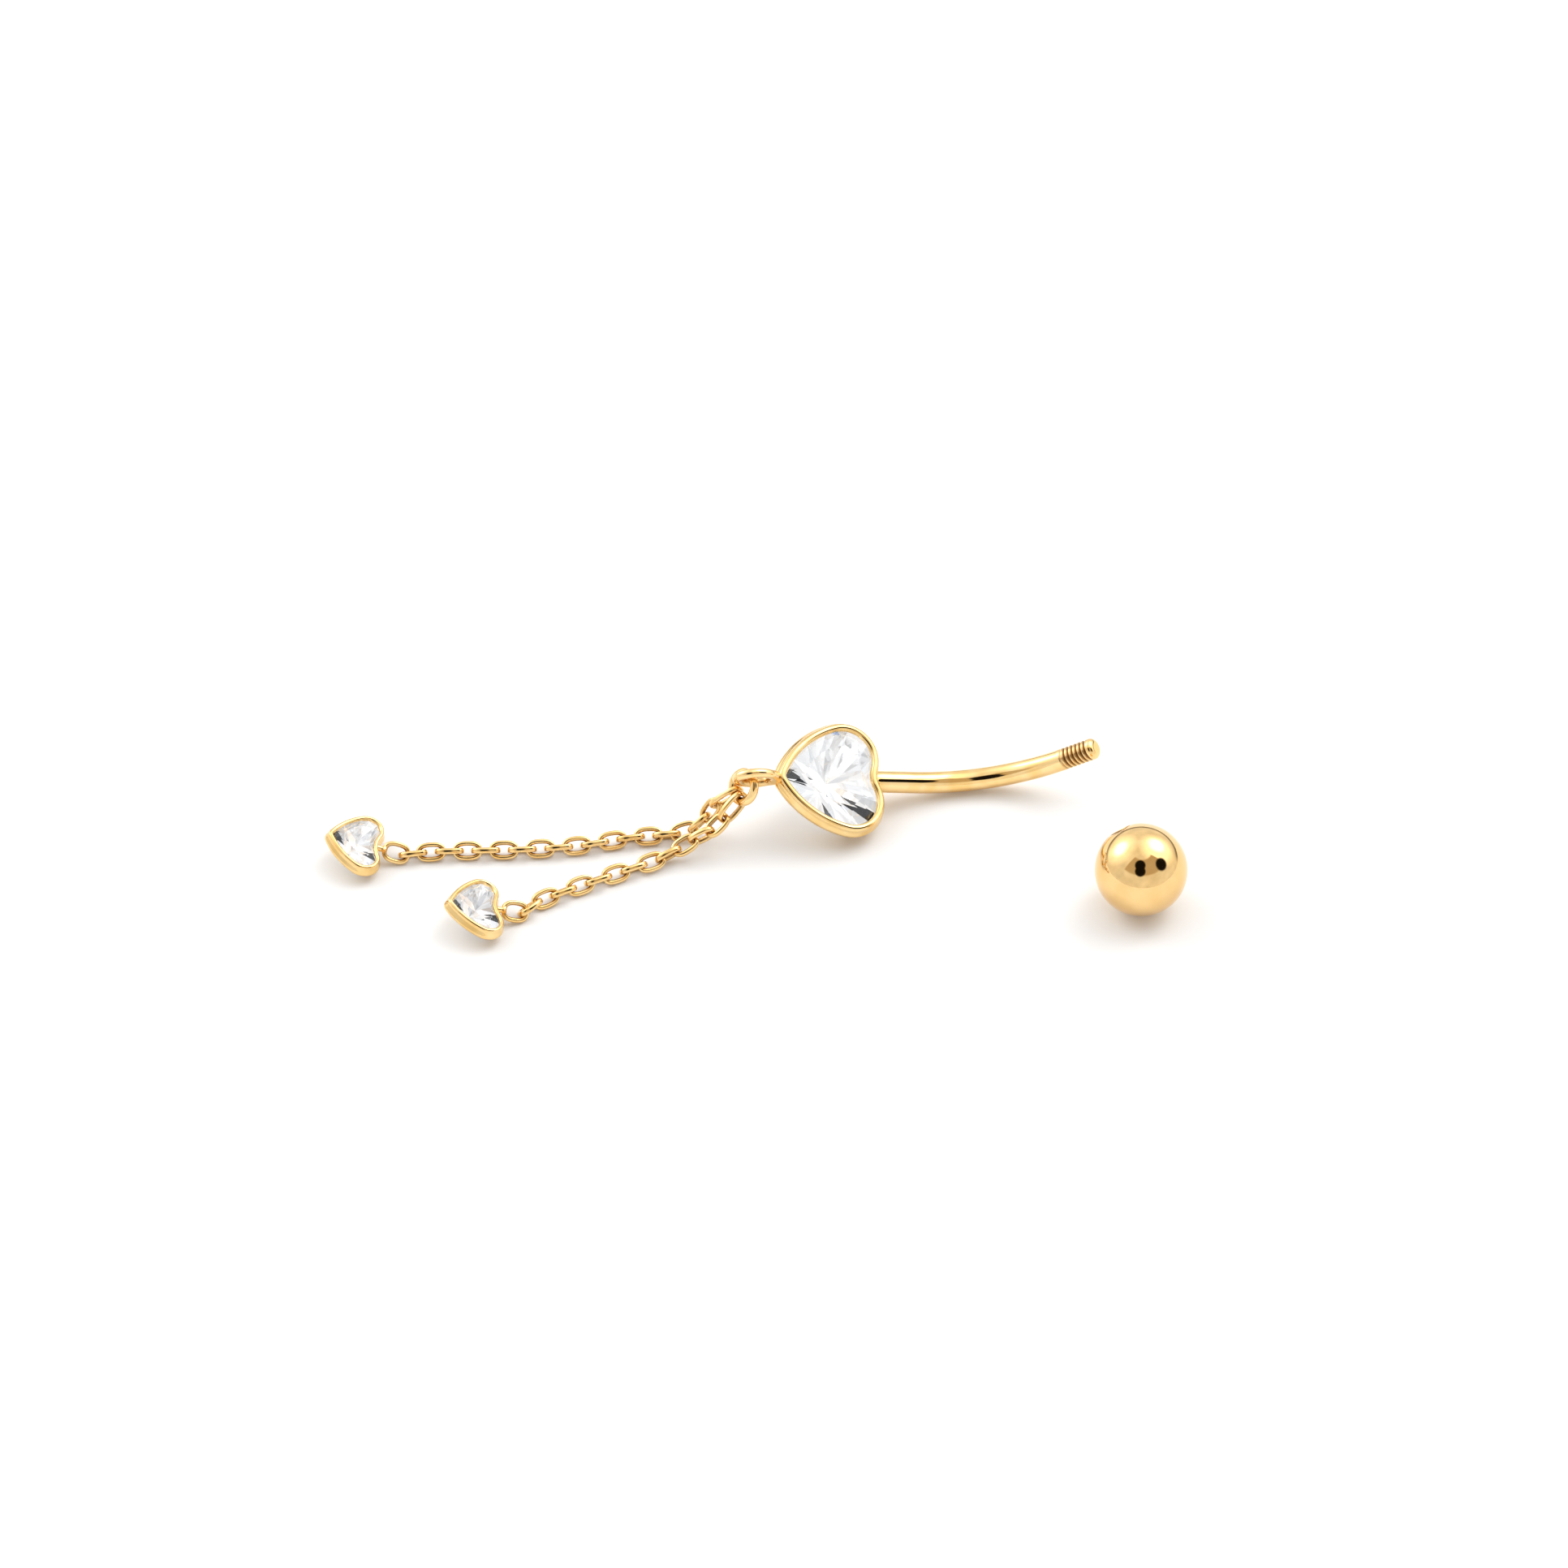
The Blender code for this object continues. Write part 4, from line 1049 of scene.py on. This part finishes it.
# The cloth hangs in soft folds, and stops a little above the table at the back
folds = tent_nodes.new("ShaderNodeTexNoise")
folds.inputs["Scale"].default_value = FOLD_SCALE
folds.inputs["Detail"].default_value = FOLD_DETAIL
tent_links.new(toward, folds.inputs["Vector"])
fold_light = tent_math("MULTIPLY_ADD", folds.outputs["Fac"], FOLD_DEPTH, 1 - FOLD_DEPTH / 2)
light = tent_math("MULTIPLY", light, fold_light)
gap = tent_math("MULTIPLY", soft_step(sideways, GAP_SIDE - SOFT_SIDE, GAP_SIDE + SOFT_SIDE),
                soft_step(height, 3 * EDGE, EDGE))
light = tent_math("MULTIPLY", light, tent_math("MULTIPLY_ADD", gap, BACK_GAP_LIGHT - 1.0, 1.0))
for direction, strength, edge, core in LAMPS:
    light = tent_math("MULTIPLY_ADD", spot(direction, edge, core), strength, light)
light = laid_over(light, opening, OPENING_LIGHT)
for direction, edge, core in BLACK_SPOTS:
    light = laid_over(light, spot(direction, edge, core), SPOT_LIGHT)
rays = tent_nodes.new("ShaderNodeLightPath")
seen = rays.outputs["Is Camera Ray"]
light = laid_over(light, seen, BACKGROUND_LIGHT)
cloth = tent_nodes.new("ShaderNodeBackground")
tint = tent_nodes.new("ShaderNodeMix")
tint.data_type = "RGBA"
tint.inputs["A"].default_value = (1.0, 1.0, 1.0, 1.0)
tint.inputs["B"].default_value = OPENING_TINT
mirrored = tent_math("SUBTRACT", tent_math("SUBTRACT", 1.0, seen), rays.outputs["Is Diffuse Ray"])
tent_links.new(tent_math("MULTIPLY", opening, mirrored), tint.inputs["Factor"])
tent_links.new(tint.outputs["Result"], cloth.inputs["Color"])
tent_links.new(light, cloth.inputs["Strength"])
tent_out = tent_nodes.new("ShaderNodeOutputWorld")
tent_links.new(cloth.outputs[0], tent_out.inputs["Surface"])


# Camera: a long lens straight in front of the ring, which looks down on it at half a right
# angle and frames a square of the table about 86 mm wide.
CAMERA_TARGET = Vector((0.00163, 0.0058122, 0.0))
CAMERA_DISTANCE = 0.3
CAMERA_HEIGHT = math.radians(45)
SENSOR = 36.0
PIXELS_PER_METRE = 22400.0
PICTURE_PIXELS = 1932

lens = bpy.data.cameras.new("camera")
lens.sensor_width = SENSOR
lens.lens = SENSOR * CAMERA_DISTANCE / (PICTURE_PIXELS / PIXELS_PER_METRE)
lens.clip_start = 0.01
camera = bpy.data.objects.new("camera", lens)
away = Vector((0, -math.cos(CAMERA_HEIGHT), math.sin(CAMERA_HEIGHT)))
camera.location = CAMERA_TARGET + away * CAMERA_DISTANCE
camera.rotation_euler = (math.pi / 2 - CAMERA_HEIGHT, 0, 0)
bpy.context.scene.collection.objects.link(camera)
bpy.context.scene.camera = camera
bpy.context.scene.view_settings.view_transform = "Standard"

bpy.context.view_layer.update()
